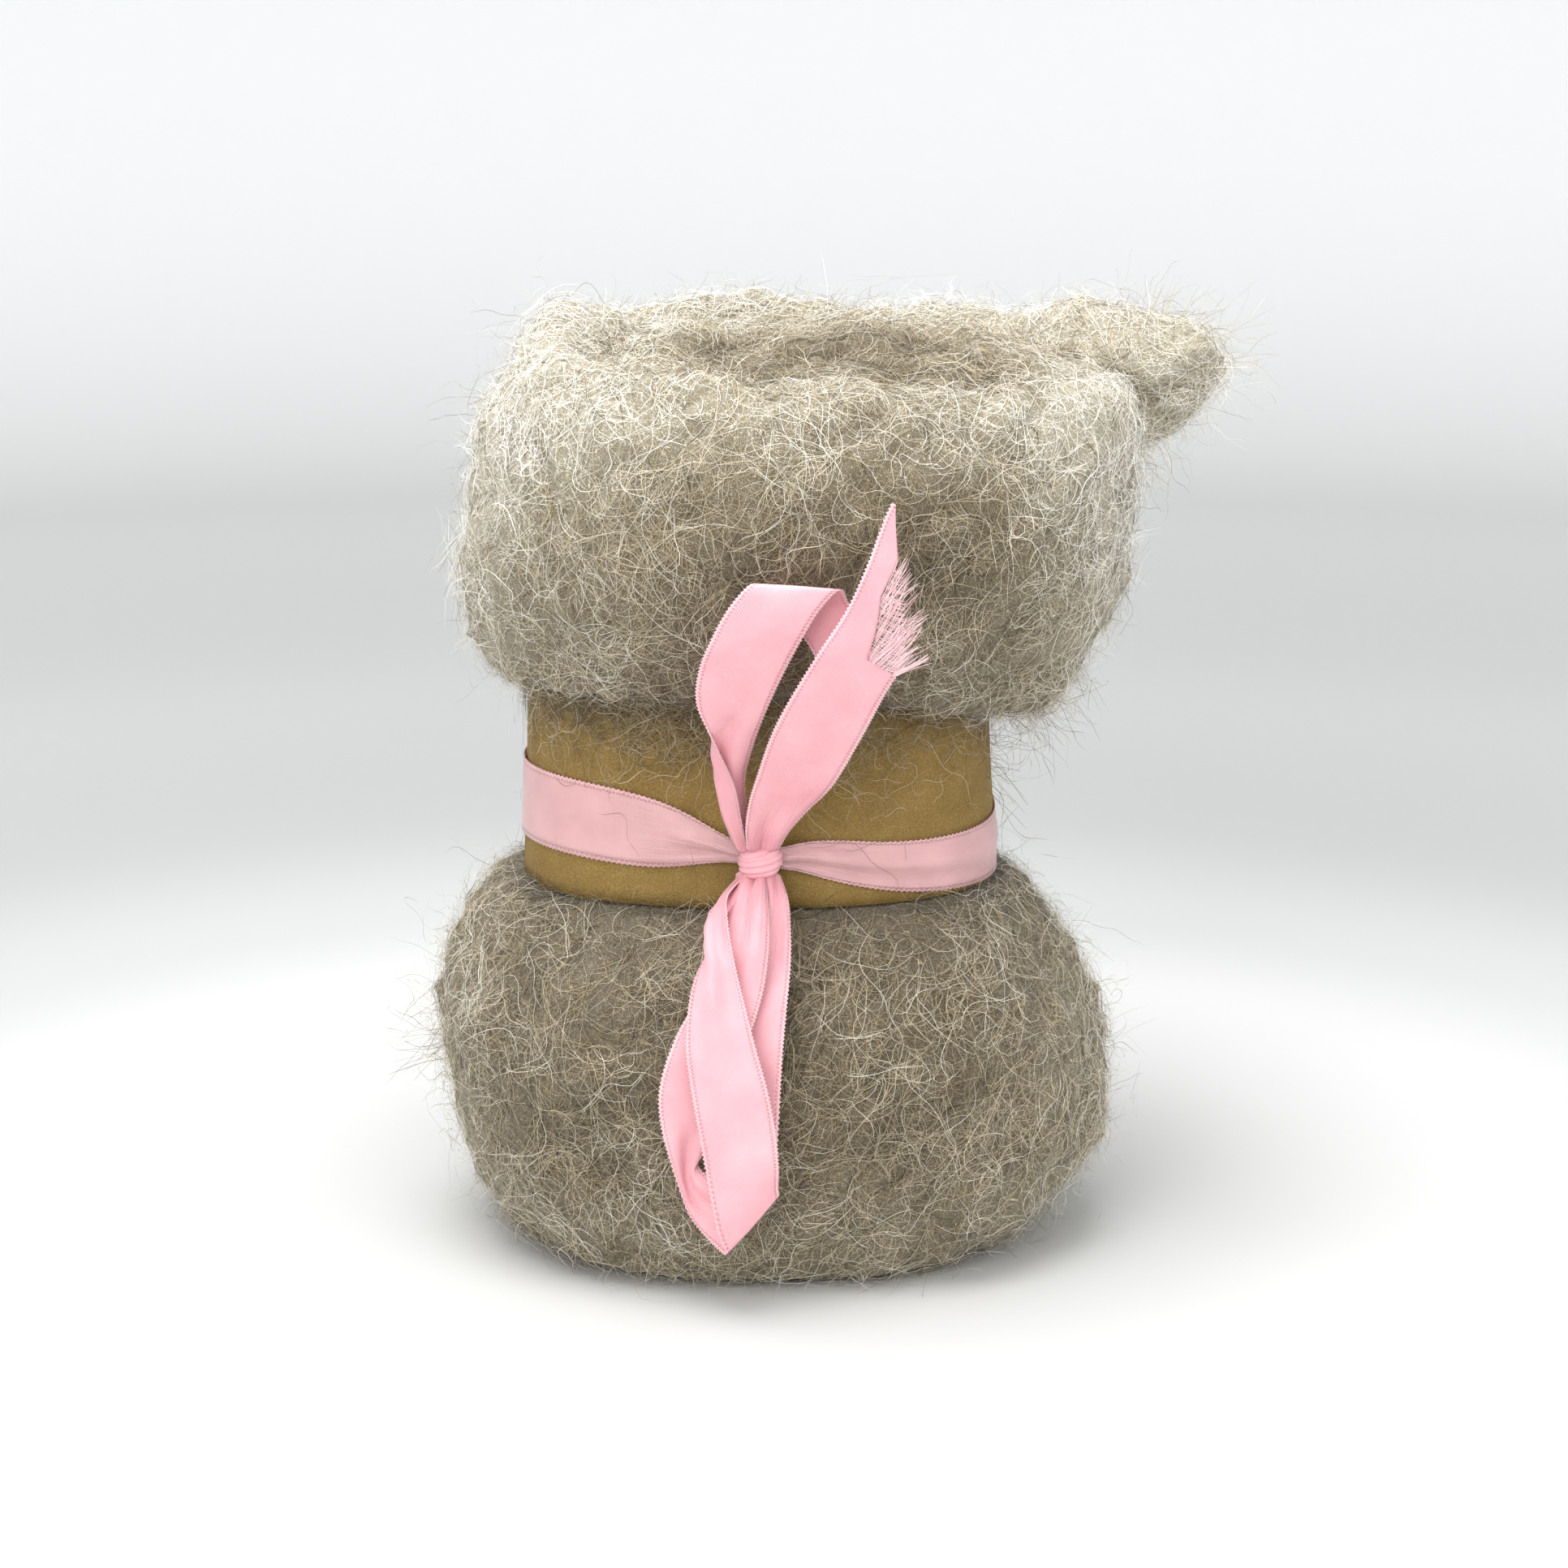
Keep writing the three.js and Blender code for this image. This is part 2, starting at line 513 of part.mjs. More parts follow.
// the loop below the knot: down the front, turned back on itself at a slanting fold, out to
// the left, and up behind
const lowerLoopRows = [
  { left: [-2.6, -52.4, 104.1], crease: [-4.8, -53.6, 104.1], right: [-3.6, -55.2, 104.1] },
  { left: [-4.2, -60, 100.5], crease: [-9.6, -63, 101], right: [-7.2, -66, 102] },
  { left: [-6.4, -66.5, 95.5], crease: [-12, -70, 96.5], right: [-6.9, -73, 97] },
  { left: [-10.8, -73, 89], crease: [-13.8, -76, 89.5], right: [-5.5, -77.5, 89] },
  { left: [-15.8, -78.5, 80.5], crease: [-11, -80.5, 81], right: [-3.2, -80.8, 81] },
  { left: [-16.9, -82, 69.5], crease: [-9.2, -83.5, 69.5], right: [-0.3, -83, 69.5] },
  { left: [-15.6, -84, 59], crease: [-6.3, -85.3, 59], right: [2.6, -84.7, 59] },
  { left: [-13.7, -85, 48], crease: [-4, -86, 48], right: [4.6, -85.5, 48] },
  { left: [-12, -85.6, 38], crease: [-2.8, -86.4, 39], right: [5.2, -86, 40] },
  { left: [-9.4, -85.2, 23.5], crease: [-2.8, -86, 28.5], right: [5, -85.6, 35.5] },
  { left: [-7.6, -83.6, 17.5], crease: [-1.4, -84.2, 24.5], right: [5, -84.2, 32.5] },
  { left: [-9.6, -82, 18.5], crease: [-4.6, -82.2, 25], right: [1.2, -82.6, 33] },
  { left: [-13.6, -81, 22.5], crease: [-10.6, -81.2, 28.5], right: [-6.8, -81.6, 36] },
  { left: [-16.6, -81, 27], crease: [-15, -80.2, 32.5], right: [-12.4, -80.6, 39] },
  { left: [-19.6, -81, 35.5], crease: [-16, -80, 38.5], right: [-11, -80, 42.5] },
  { left: [-22.9, -81, 48.5], crease: [-15.6, -80.4, 49.5], right: [-7.4, -80.4, 51] },
  { left: [-23.4, -81, 58], crease: [-15, -80.4, 58.5], right: [-5.4, -80, 59.5] },
  { left: [-19.8, -79.4, 70], crease: [-11.2, -79.5, 69.8], right: [-2, -79, 70] },
  { left: [-13.7, -75.6, 80.5], crease: [-6.3, -76.4, 81], right: [0.9, -75.4, 81] },
  { left: [-9.2, -71, 88.5], crease: [-4, -72.8, 89.5], right: [1.2, -71.5, 89.5] },
  { left: [-5.4, -63.4, 96.5], crease: [-2.2, -65.2, 97.5], right: [1, -63.8, 97] },
  { left: [-2.4, -54.6, 102.4], crease: [-0.6, -56.4, 102.8], right: [1.2, -54.6, 102.4] },
  { left: [-1.6, -52.4, 104.1], crease: [0, -53.4, 104.1], right: [1.6, -52.4, 104.1] },
];

// the free end below the knot, straight down behind the loop
const lowerTailRows = [
  { left: [3.1, -52.2, 104.1], crease: [4.3, -53.4, 104.1], right: [5.6, -52.8, 104.1] },
  { left: [2.8, -57.2, 99], crease: [5, -58.8, 99.5], right: [7.7, -58, 99.5] },
  { left: [-1.6, -62.6, 92.5], crease: [3, -64, 93], right: [8.1, -63.4, 93.5] },
  { left: [-6.6, -67.6, 85], crease: [0.8, -68.6, 85.5], right: [8.1, -68.2, 86] },
  { left: [-10.8, -73.8, 75.5], crease: [-1.5, -74, 76], right: [7.1, -73.6, 76] },
  { left: [-12.6, -76.4, 64], crease: [-3, -76.8, 64.5], right: [6.1, -76.4, 65] },
  { left: [-13.4, -77, 54], crease: [-3.8, -77.4, 54], right: [5.5, -77, 54] },
  { left: [-13.8, -77, 48.5], crease: [-4.5, -77.4, 46], right: [4.9, -77, 43] },
];

// The colours of the photograph's wool, paper and satin.
const materials = {
  wool: { color: 0xb3a68e, roughness: 0.95 },
  paper: { color: 0x92774a, roughness: 0.85 },
  satin: { color: 0xf7bcc6, roughness: 0.42 },
};

const batt = new THREE.Group();

function addPiece(name, geometry, finish) {
  const material = new THREE.MeshStandardMaterial({ ...materials[finish], metalness: 0 });
  const mesh = new THREE.Mesh(geometry, material);
  mesh.name = name;
  batt.add(mesh);
}

addPiece('wool_batt', woolBatt(), 'wool');
addPiece('paper_band', paperBand(), 'paper');
addPiece('ribbon_wrap', ribbonWrap(), 'satin');
addPiece('ribbon_knot', ribbonKnot(), 'satin');
addPiece('ribbon_loop_upper', bowPiece(upperLoopRows), 'satin');
addPiece('ribbon_tail_upper', bowPiece(upperTailRows), 'satin');
addPiece('ribbon_loop_lower', bowPiece(lowerLoopRows), 'satin');
addPiece('ribbon_tail_lower', bowPiece(lowerTailRows), 'satin');

export default batt;
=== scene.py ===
# Looks for the rolled wool batt: curly wool, a kraft paper band and a satin bow, built around
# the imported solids. Metres, +Z up, the bow faces -Y.
import math

import bmesh
import bpy
import numpy as np
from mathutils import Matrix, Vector
from mathutils.bvhtree import BVHTree
from mathutils.kdtree import KDTree


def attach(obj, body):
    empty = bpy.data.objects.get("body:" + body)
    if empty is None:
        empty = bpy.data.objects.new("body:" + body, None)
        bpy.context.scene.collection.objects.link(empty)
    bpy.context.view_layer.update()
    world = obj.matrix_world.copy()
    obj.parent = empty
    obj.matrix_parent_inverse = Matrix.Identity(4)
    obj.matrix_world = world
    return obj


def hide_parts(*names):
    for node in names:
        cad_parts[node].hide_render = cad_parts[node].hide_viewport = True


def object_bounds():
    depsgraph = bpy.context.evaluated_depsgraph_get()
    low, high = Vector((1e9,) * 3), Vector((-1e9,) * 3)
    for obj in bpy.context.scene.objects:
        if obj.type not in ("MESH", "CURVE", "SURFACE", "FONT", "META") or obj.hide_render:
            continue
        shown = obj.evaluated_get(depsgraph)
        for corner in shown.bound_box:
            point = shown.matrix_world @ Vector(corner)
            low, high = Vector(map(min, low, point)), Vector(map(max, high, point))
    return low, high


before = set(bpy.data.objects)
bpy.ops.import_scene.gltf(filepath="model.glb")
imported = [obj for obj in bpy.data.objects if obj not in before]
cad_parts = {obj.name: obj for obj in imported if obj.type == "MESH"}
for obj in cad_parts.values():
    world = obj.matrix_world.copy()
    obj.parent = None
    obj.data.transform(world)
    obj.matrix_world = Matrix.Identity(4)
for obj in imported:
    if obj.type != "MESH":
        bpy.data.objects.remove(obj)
cadBox = [list(corner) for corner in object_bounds()]
scene = bpy.context.scene
mm = 0.001
print("frame loaded")


# Small helpers.

def smoothStep(low, high, value):  # low may be over high, for a step down
    share = np.clip((value - low) / (high - low), 0, 1)
    return share * share * (3 - 2 * share)


def bell(distance, spread):
    return np.exp(-((distance / spread) ** 2))


def turnBetween(a, b):  # the shorter way round, in degrees
    return np.abs((a - b + 540) % 360 - 180)


def unit(vectors):
    return vectors / np.maximum(np.linalg.norm(vectors, axis=-1, keepdims=True), 1e-12)


def addMesh(name, points, quads, material):
    mesh = bpy.data.meshes.new(name)
    mesh.vertices.add(len(points))
    mesh.vertices.foreach_set("co", np.ravel(points).astype(np.float32))
    mesh.loops.add(quads.size)
    mesh.loops.foreach_set("vertex_index", np.ravel(quads).astype(np.int32))
    mesh.polygons.add(len(quads))
    mesh.polygons.foreach_set("loop_start", np.arange(0, quads.size, quads.shape[1], dtype=np.int32))
    mesh.update(calc_edges=True)
    mesh.validate()
    mesh.shade_smooth()
    mesh.materials.append(material)
    piece = bpy.data.objects.new(name, mesh)
    scene.collection.objects.link(piece)
    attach(piece, "root")
    return piece


def addValues(piece, name, values):  # one number, or one vector, for each point
    kind = "FLOAT" if np.ndim(values) == 1 else "FLOAT_VECTOR"
    layer = piece.data.attributes.new(name, kind, "POINT")
    layer.data.foreach_set("value" if kind == "FLOAT" else "vector", np.ravel(values).astype(np.float32))


def addUvs(piece, places):  # one place in the unit square for each point
    layer = piece.data.uv_layers.new(name="unwrapped")
    corners = np.zeros(len(piece.data.loops), np.int32)
    piece.data.loops.foreach_get("vertex_index", corners)
    layer.data.foreach_set("uv", np.ravel(places[corners]).astype(np.float32))


def newMaterial(name, roughness):
    material = bpy.data.materials.new(name)
    material.use_nodes = True
    shader = material.node_tree.nodes["Principled BSDF"]
    shader.inputs["Roughness"].default_value = roughness
    return material, material.node_tree.nodes, material.node_tree.links, shader


def feed(links, socket, value):  # a plain number or another node's output
    if isinstance(value, (int, float)):
        socket.default_value = value
    else:
        links.new(value, socket)


def maths(nodes, links, operation, first, second=0.5):
    node = nodes.new("ShaderNodeMath")
    node.operation = operation
    feed(links, node.inputs[0], first)
    feed(links, node.inputs[1], second)
    return node.outputs["Value"]


# plus and times for one node tree, each for two values or more
def sumsIn(nodes, links):
    def joined(operation, values):
        total = values[0]
        for value in values[1:]:
            total = maths(nodes, links, operation, total, value)
        return total

    return lambda *values: joined("ADD", values), lambda *values: joined("MULTIPLY", values)


def ramped(nodes, links, share, stops, easing="LINEAR"):
    ramp = nodes.new("ShaderNodeValToRGB")
    ramp.color_ramp.interpolation = easing
    elements = ramp.color_ramp.elements
    while len(elements) < len(stops):
        elements.new(1.0)
    for element, (place, color) in zip(elements, stops):
        element.position = place
        element.color = (*color, 1)
    links.new(share, ramp.inputs["Fac"])
    return ramp.outputs["Color"]


# The camera, the floor and the light.

cameraLook = {
    "place": (0.0065, -0.88, 0.315),
    "tiltDown": 12.8,       # degrees under the horizon
    "lens": 80.12,
    "sensor": 36,
}

camera = bpy.data.objects.new("camera", bpy.data.cameras.new("camera"))
camera.location = cameraLook["place"]
camera.rotation_euler = (math.radians(90 - cameraLook["tiltDown"]), 0, 0)
camera.data.lens = cameraLook["lens"]
camera.data.sensor_width = cameraLook["sensor"]
scene.collection.objects.link(camera)
scene.camera = camera

stageLook = {
    "floorRadius": 1.35,
    "coveRadius": 0.45,
    "coveHeight": 1.5,
    "rampRadius": 1.8,
    "roughness": 0.75,
    "around": 96,
    # pale round the roll and a little darker right at its base as painted shadow, greyer farther out as
    # painted shade where the light falls off, pale again up the cove as painted light: share of rampRadius,
    # shade
    "paintedShadeAndLight": [
        (0.0, (0.6, 0.59, 0.575)), (0.06, (0.61, 0.61, 0.6)), (0.1, (0.635, 0.635, 0.625)),
        (0.125, (0.635, 0.635, 0.625)), (0.18, (0.54, 0.545, 0.535)), (0.26, (0.465, 0.47, 0.46)),
        (0.42, (0.54, 0.545, 0.54)), (0.72, (0.65, 0.655, 0.645)), (1.0, (0.92, 0.925, 0.925)),
    ],
}


def makeStage(look):
    material, nodes, links, shader = newMaterial("paleStage", look["roughness"])
    place = nodes.new("ShaderNodeTexCoord")
    length = nodes.new("ShaderNodeVectorMath")
    length.operation = "LENGTH"
    links.new(place.outputs["Object"], length.inputs[0])
    share = maths(nodes, links, "DIVIDE", length.outputs["Value"], look["rampRadius"])
    # the floor's colour holds painted shadow and a painted falloff of the light
    shade = ramped(nodes, links, share, look["paintedShadeAndLight"], "EASE")
    links.new(shade, shader.inputs["Base Color"])
    radii = [0.0005, 0.1, 0.3, 0.6, 1.0, look["floorRadius"]]
    profile = [(r, 0.0) for r in radii]
    for step in range(1, 13):
        angle = step / 12 * math.pi / 2
        bend = look["coveRadius"]
        profile.append((look["floorRadius"] + bend * math.sin(angle), bend * (1 - math.cos(angle))))
    profile.append((look["floorRadius"] + look["coveRadius"], look["coveHeight"]))
    around = look["around"]
    points = [
        (r * math.cos(i / around * math.tau), r * math.sin(i / around * math.tau), z)
        for r, z in profile
        for i in range(around)
    ]
    quads = [
        (row * around + i, row * around + (i + 1) % around,
         (row + 1) * around + (i + 1) % around, (row + 1) * around + i)
        for row in range(len(profile) - 1)
        for i in range(around)
    ]
    mesh = bpy.data.meshes.new("floor")
    mesh.from_pydata(points, [], quads)
    mesh.shade_smooth()
    mesh.materials.append(material)
    floor = bpy.data.objects.new("floor", mesh)
    scene.collection.objects.link(floor)


lightLook = {
    "above": {"place": (-0.12, -0.18, 1.15), "size": 0.9, "power": 15.5, "aim": (0, 0, 0.1)},
    "front": {"place": (-0.55, -1.3, 0.75), "size": 0.9, "power": 9.5, "aim": (0, 0, 0.1)},
    "right": {"place": (1.1, -0.7, 0.7), "size": 0.8, "power": 4, "aim": (0, 0, 0.1)},
    "air": (0.95, 0.97, 1.0, 1),
    "airStrength": 0.58,
}


def makeLights(look):
    for name in ("above", "front", "right"):
        facts = look[name]
        lamp = bpy.data.lights.new(name, "AREA")
        lamp.shape = "DISK"
        lamp.size = facts["size"]
        lamp.energy = facts["power"]
        softbox = bpy.data.objects.new(name, lamp)
        softbox.location = facts["place"]
        aim = Vector(facts["aim"]) - Vector(facts["place"])
        softbox.rotation_euler = aim.to_track_quat("-Z", "Y").to_euler()
        scene.collection.objects.link(softbox)
    world = bpy.data.worlds.new("air")
    scene.world = world
    world.use_nodes = True
    background = world.node_tree.nodes["Background"]
    background.inputs["Color"].default_value = look["air"]
    background.inputs["Strength"].default_value = look["airStrength"]
    scene.view_settings.view_transform = "Standard"


makeStage(stageLook)
makeLights(lightLook)
print("camera, floor and lights placed")


# Effects that several materials use.

def newGroup(name, inputs, outputs):
    group = bpy.data.node_groups.new(name, "ShaderNodeTree")
    for socket, kind, value in inputs:
        made = group.interface.new_socket(socket, in_out="INPUT", socket_type=kind)
        made.default_value = value
    for socket in outputs:
        group.interface.new_socket(socket, in_out="OUTPUT", socket_type="NodeSocketFloat")
    given, result = group.nodes.new("NodeGroupInput"), group.nodes.new("NodeGroupOutput")
    return group, given.outputs, result.inputs


def useGroup(nodes, links, group, place, **values):
    node = nodes.new("ShaderNodeGroup")
    node.node_tree = group
    links.new(place, node.inputs[0])
    for socket, value in values.items():
        node.inputs[socket].default_value = value
    return node.outputs


def noise(nodes, links, place, scale, detail, distortion=0.0):
    node = nodes.new("ShaderNodeTexNoise")
    node.inputs["Detail"].default_value = detail
    node.inputs["Distortion"].default_value = distortion
    links.new(place, node.inputs["Vector"])
    feed(links, node.inputs["Scale"], scale)
    return node.outputs["Fac"]


def fade(nodes, links, value, low, high, top=1.0):  # smooth, from 0 at low to top at high
    node = nodes.new("ShaderNodeMapRange")
    node.interpolation_type = "SMOOTHSTEP"
    node.inputs["From Min"].default_value = low
    node.inputs["From Max"].default_value = high
    node.inputs["To Max"].default_value = top
    links.new(value, node.inputs["Value"])
    return node.outputs["Result"]


# A tangle of fine curly fibers: thin contour lines of three slow noises, one over the other.
def tangleGroup():
    group, given, result = newGroup(
        "tangle",
        [("Vector", "NodeSocketVector", (0, 0, 0)), ("Scale", "NodeSocketFloat", 300.0),
         ("Lines", "NodeSocketFloat", 14.0)],
        ["Fibers"],
    )
    nodes, links = group.nodes, group.links
    tangle = None
    for turn, height in (((0.4, 0.3, 0.2), 0.45), ((1.3, 0.9, 1.5), 0.7), ((2.2, 1.7, 2.6), 1.0)):
        twist = nodes.new("ShaderNodeVectorRotate")
        twist.rotation_type = "EULER_XYZ"
        twist.inputs["Rotation"].default_value = turn
        links.new(given["Vector"], twist.inputs["Vector"])
        slow = noise(nodes, links, twist.outputs["Vector"], given["Scale"], 1.5, 0.4)
        level = maths(nodes, links, "MULTIPLY", slow, given["Lines"])
        line = fade(nodes, links, maths(nodes, links, "PINGPONG", level, 0.5), 0.17, 0.03, height)
        tangle = line if tangle is None else maths(nodes, links, "MAXIMUM", tangle, line)
    links.new(tangle, result["Fibers"])
    return group


# Soft patches of colour, larger than the grain.
def patchesGroup():
    group, given, result = newGroup(
        "patches",
        [("Vector", "NodeSocketVector", (0, 0, 0)), ("Scale", "NodeSocketFloat", 40.0),
         ("Contrast", "NodeSocketFloat", 1.0)],
        ["Mask"],
    )
    nodes, links = group.nodes, group.links
    cloud = noise(nodes, links, given["Vector"], given["Scale"], 4.0)
    centred = maths(nodes, links, "SUBTRACT", cloud, 0.5)
    moved = nodes.new("ShaderNodeMath")
    moved.operation = "ADD"
    moved.use_clamp = True
    moved.inputs[1].default_value = 0.5
    links.new(maths(nodes, links, "MULTIPLY", centred, given["Contrast"]), moved.inputs[0])
    links.new(moved.outputs["Value"], result["Mask"])
    return group


# Satin ribbon: a fine slanted twill, and a woven edge with a row of small dots. Place is in
# millimetres: X from the ribbon's left edge, Y along it. Z is how gathered it is, 0 to 1.
def satinWeaveGroup():
    group, given, result = newGroup(
        "satinWeave",
        [("Place", "NodeSocketVector", (0, 0, 0)), ("Width", "NodeSocketFloat", 19.0),
         ("Pitch", "NodeSocketFloat", 0.6)],
        ["Twill", "Grid", "Selvedge", "Dots", "Crinkle"],
    )
    nodes, links = group.nodes, group.links
    plus, times = sumsIn(nodes, links)
    split = nodes.new("ShaderNodeSeparateXYZ")
    links.new(given["Place"], split.inputs[0])
    across, along, gathered = (split.outputs[axis] for axis in "XYZ")

    def waveOf(place, pitch):
        turns = maths(nodes, links, "DIVIDE", place, pitch)
        return maths(nodes, links, "SINE", times(turns, math.tau))

    slanted = waveOf(plus(across, times(along, 1.1)), given["Pitch"])
    uneven = times(slanted, noise(nodes, links, given["Place"], 1.7, 2.0))
    links.new(plus(times(uneven, 0.9), 0.5), result["Twill"])
    # the duller back shows the weave as a slanted grid of dots
    crossed = waveOf(maths(nodes, links, "SUBTRACT", across, times(along, 0.9)), given["Pitch"])
    links.new(plus(times(slanted, crossed, 0.5), 0.5), result["Grid"])
    # the nearer edge, in millimetres
    rest = maths(nodes, links, "SUBTRACT", given["Width"], across)
    edge = maths(nodes, links, "MINIMUM", across, rest)
    links.new(fade(nodes, links, edge, 0.75, 0.35), result["Selvedge"])
    offLine = maths(nodes, links, "ABSOLUTE", maths(nodes, links, "SUBTRACT", edge, 1.0))
    pulse = plus(times(waveOf(along, 0.95), 0.5), 0.5)
    links.new(times(pulse, fade(nodes, links, offLine, 0.32, 0.08)), result["Dots"])
    # fine pleats that run along the ribbon where it is gathered
    squash = nodes.new("ShaderNodeVectorMath")
    squash.operation = "MULTIPLY"
    squash.inputs[1].default_value = (1.0, 0.07, 0.0)
    links.new(given["Place"], squash.inputs[0])
    pleats = noise(nodes, links, squash.outputs["Vector"], 0.75, 2.5)
    links.new(times(pleats, gathered), result["Crinkle"])
    return group


tangle = tangleGroup()
patches = patchesGroup()
satinWeave = satinWeaveGroup()


# The materials. Each piece carries its own values, tone or place, for them.

def attribute(nodes, name, output):
    node = nodes.new("ShaderNodeAttribute")
    node.attribute_name = name
    return node.outputs[output]


def bumpFrom(nodes, links, height, distance, under=None):  # under is a bump that it adds to
    bump = nodes.new("ShaderNodeBump")
    bump.inputs["Distance"].default_value = distance
    bump.inputs["Strength"].default_value = 1.0
    links.new(height, bump.inputs["Height"])
    if under is not None:
        links.new(under, bump.inputs["Normal"])
    return bump.outputs["Normal"]


def addSheen(shader, look):
    shader.inputs["Sheen Weight"].default_value = look["sheen"]
    shader.inputs["Sheen Roughness"].default_value = look["sheenRoughness"]


woolColors = {
    # the body's colours run darker than the fibers', as painted shade in the gaps between the fibers
    "core": [(0.0, (0.04, 0.028, 0.012)), (0.4, (0.165, 0.124, 0.065)), (0.75, (0.42, 0.352, 0.225)),
             (1.0, (0.78, 0.74, 0.63))],
    "fiber": [
        (0.0, (0.05, 0.036, 0.018)), (0.1, (0.155, 0.113, 0.058)), (0.35, (0.355, 0.282, 0.165)),
        (0.6, (0.57, 0.492, 0.35)), (0.8, (0.76, 0.71, 0.59)), (1.0, (0.91, 0.89, 0.83)),
    ],
    "roughness": 0.85,
    "sheen": 0.3,
    "sheenRoughness": 0.45,
}


def woolCoreMaterial(look):
    material, nodes, links, shader = newMaterial("mattedWool", look["roughness"])
    plus, times = sumsIn(nodes, links)
    place = nodes.new("ShaderNodeTexCoord").outputs["Object"]
    fine = useGroup(nodes, links, tangle, place, Scale=330.0, Lines=14.0)["Fibers"]
    cloud = useGroup(nodes, links, patches, place, Scale=120.0, Contrast=1.4)["Mask"]
    # the tone that each point carries is its painted light and shade
    pale = attribute(nodes, "tone", "Fac")
    tone = plus(times(fine, 0.48), times(cloud, 0.2), times(pale, 0.7))
    links.new(ramped(nodes, links, tone, look["core"]), shader.inputs["Base Color"])
    links.new(bumpFrom(nodes, links, fine, 0.0003), shader.inputs["Normal"])
    addSheen(shader, look)
    return material


def woolFiberMaterial(look):
    material, nodes, links, shader = newMaterial("woolFiber", look["roughness"])
    # each fiber's tone holds painted light and shade from the wool under it, with a random spread
    tone = attribute(nodes, "tone", "Fac")
    links.new(ramped(nodes, links, tone, look["fiber"]), shader.inputs["Base Color"])
    addSheen(shader, look)
    return material


kraftColors = {
    "base": [(0.1, (0.165, 0.098, 0.025)), (0.6, (0.275, 0.177, 0.053)), (1.0, (0.42, 0.285, 0.11))],
    "roughness": 0.75,
}


def kraftMaterial(look):
    material, nodes, links, shader = newMaterial("kraftPaper", look["roughness"])
    plus, times = sumsIn(nodes, links)
    place = attribute(nodes, "place", "Vector")
    flecks = useGroup(nodes, links, tangle, place, Scale=0.5, Lines=9.0)["Fibers"]
    cloud = useGroup(nodes, links, patches, place, Scale=0.11, Contrast=1.4)["Mask"]
    speckle = useGroup(nodes, links, patches, place, Scale=2.2, Contrast=2.0)["Mask"]
    tone = plus(times(flecks, 0.36), times(cloud, 0.4), times(speckle, 0.42))
    links.new(ramped(nodes, links, tone, look["base"]), shader.inputs["Base Color"])
    links.new(bumpFrom(nodes, links, speckle, 0.0002), shader.inputs["Normal"])
    shader.inputs["Specular IOR Level"].default_value = 0.2
    return material


satinColors = {
    "face": ((0.71, 0.26, 0.3), (0.86, 0.415, 0.465), (0.97, 0.61, 0.635)),
    # the turn round the paper has darker colours: partly painted shade, as it runs round the sides, and
    # partly the paper showing through
    "wrap": ((0.47, 0.235, 0.245), (0.65, 0.37, 0.375), (0.92, 0.515, 0.53)),
    "thread": ((0.9, 0.5, 0.55), (0.98, 0.68, 0.71), (1.0, 0.85, 0.86)),
    "roughness": 0.36,
    "sheen": 0.25,
    "sheenRoughness": 0.35,
}


def satinMaterial(name, colors, weaveOutput, pitch, look):
    material, nodes, links, shader = newMaterial(name, look["roughness"])
    plus, times = sumsIn(nodes, links)
    low, middle, pale = colors
    place = attribute(nodes, "place", "Vector")
    weave = useGroup(nodes, links, satinWeave, place, Width=19.0, Pitch=pitch)
    # soft random patches, lighter and darker, painted on the satin in place of its soft shading: painted
    # light and shade
    cloud = useGroup(nodes, links, patches, place, Scale=0.07, Contrast=1.9)["Mask"]
    edges = times(weave["Selvedge"], 0.42)
    holes = times(weave["Dots"], -0.35)
    tone = plus(times(weave[weaveOutput], 0.32), times(cloud, 0.36), 0.14, edges, holes)
    color = ramped(nodes, links, tone, [(0.0, low), (0.5, middle), (1.0, pale)])
    links.new(color, shader.inputs["Base Color"])
    fine = bumpFrom(nodes, links, weave[weaveOutput], 0.00005)
    holed = bumpFrom(nodes, links, weave["Dots"], -0.00015, fine)
    crinkled = bumpFrom(nodes, links, weave["Crinkle"], 0.0011, holed)
    links.new(crinkled, shader.inputs["Normal"])
    addSheen(shader, look)
    return material


mattedWool = woolCoreMaterial(woolColors)
woolFiber = woolFiberMaterial(woolColors)
kraftPaper = kraftMaterial(kraftColors)
satin = satinMaterial("satin", satinColors["face"], "Twill", 0.7, satinColors)
satinBack = satinMaterial("satinBack", satinColors["wrap"], "Grid", 0.85, satinColors)
satinThread = satinMaterial("satinThread", satinColors["thread"], "Twill", 0.7, satinColors)
print("materials made")


# The waist, which the paper, the ribbon and the wool over them all follow.

waist = {
    "width": 122 * mm,
    "depth": 96 * mm,
    "taper": 4 * mm,
    "square": 2.4,
    "bottom": 94.5 * mm,
    "height": 51 * mm,
}


def waistRadius(angle, z, step):  # angle in radians, step outwards from the paper's face
    narrowing = (z - waist["bottom"]) / waist["height"] * (waist["taper"] / 2)
    across = waist["width"] / 2 - narrowing + step
    along = waist["depth"] / 2 - narrowing + step
    power = waist["square"]
    return (np.abs(np.cos(angle) / across) ** power + np.abs(np.sin(angle) / along) ** power) ** (-1 / power)


def waistPoints(angle, z, step):
    radius = waistRadius(angle, z, step)
    return np.stack([radius * np.cos(angle), radius * np.sin(angle), z + 0 * radius], axis=-1)


# Smooth lumps from a few crossing waves, the same each run, from about -1 to 1.
def lumps(points, size, seed, count=7):
    waves = np.random.default_rng(seed)
    directions = unit(waves.normal(size=(count, 3)))
    shifts = waves.uniform(0, math.tau, count)
    sizes = waves.uniform(0.6, 1.6, count) * math.tau / size
    return np.sin(points @ directions.T * sizes + shifts).sum(axis=1) / math.sqrt(count / 2)
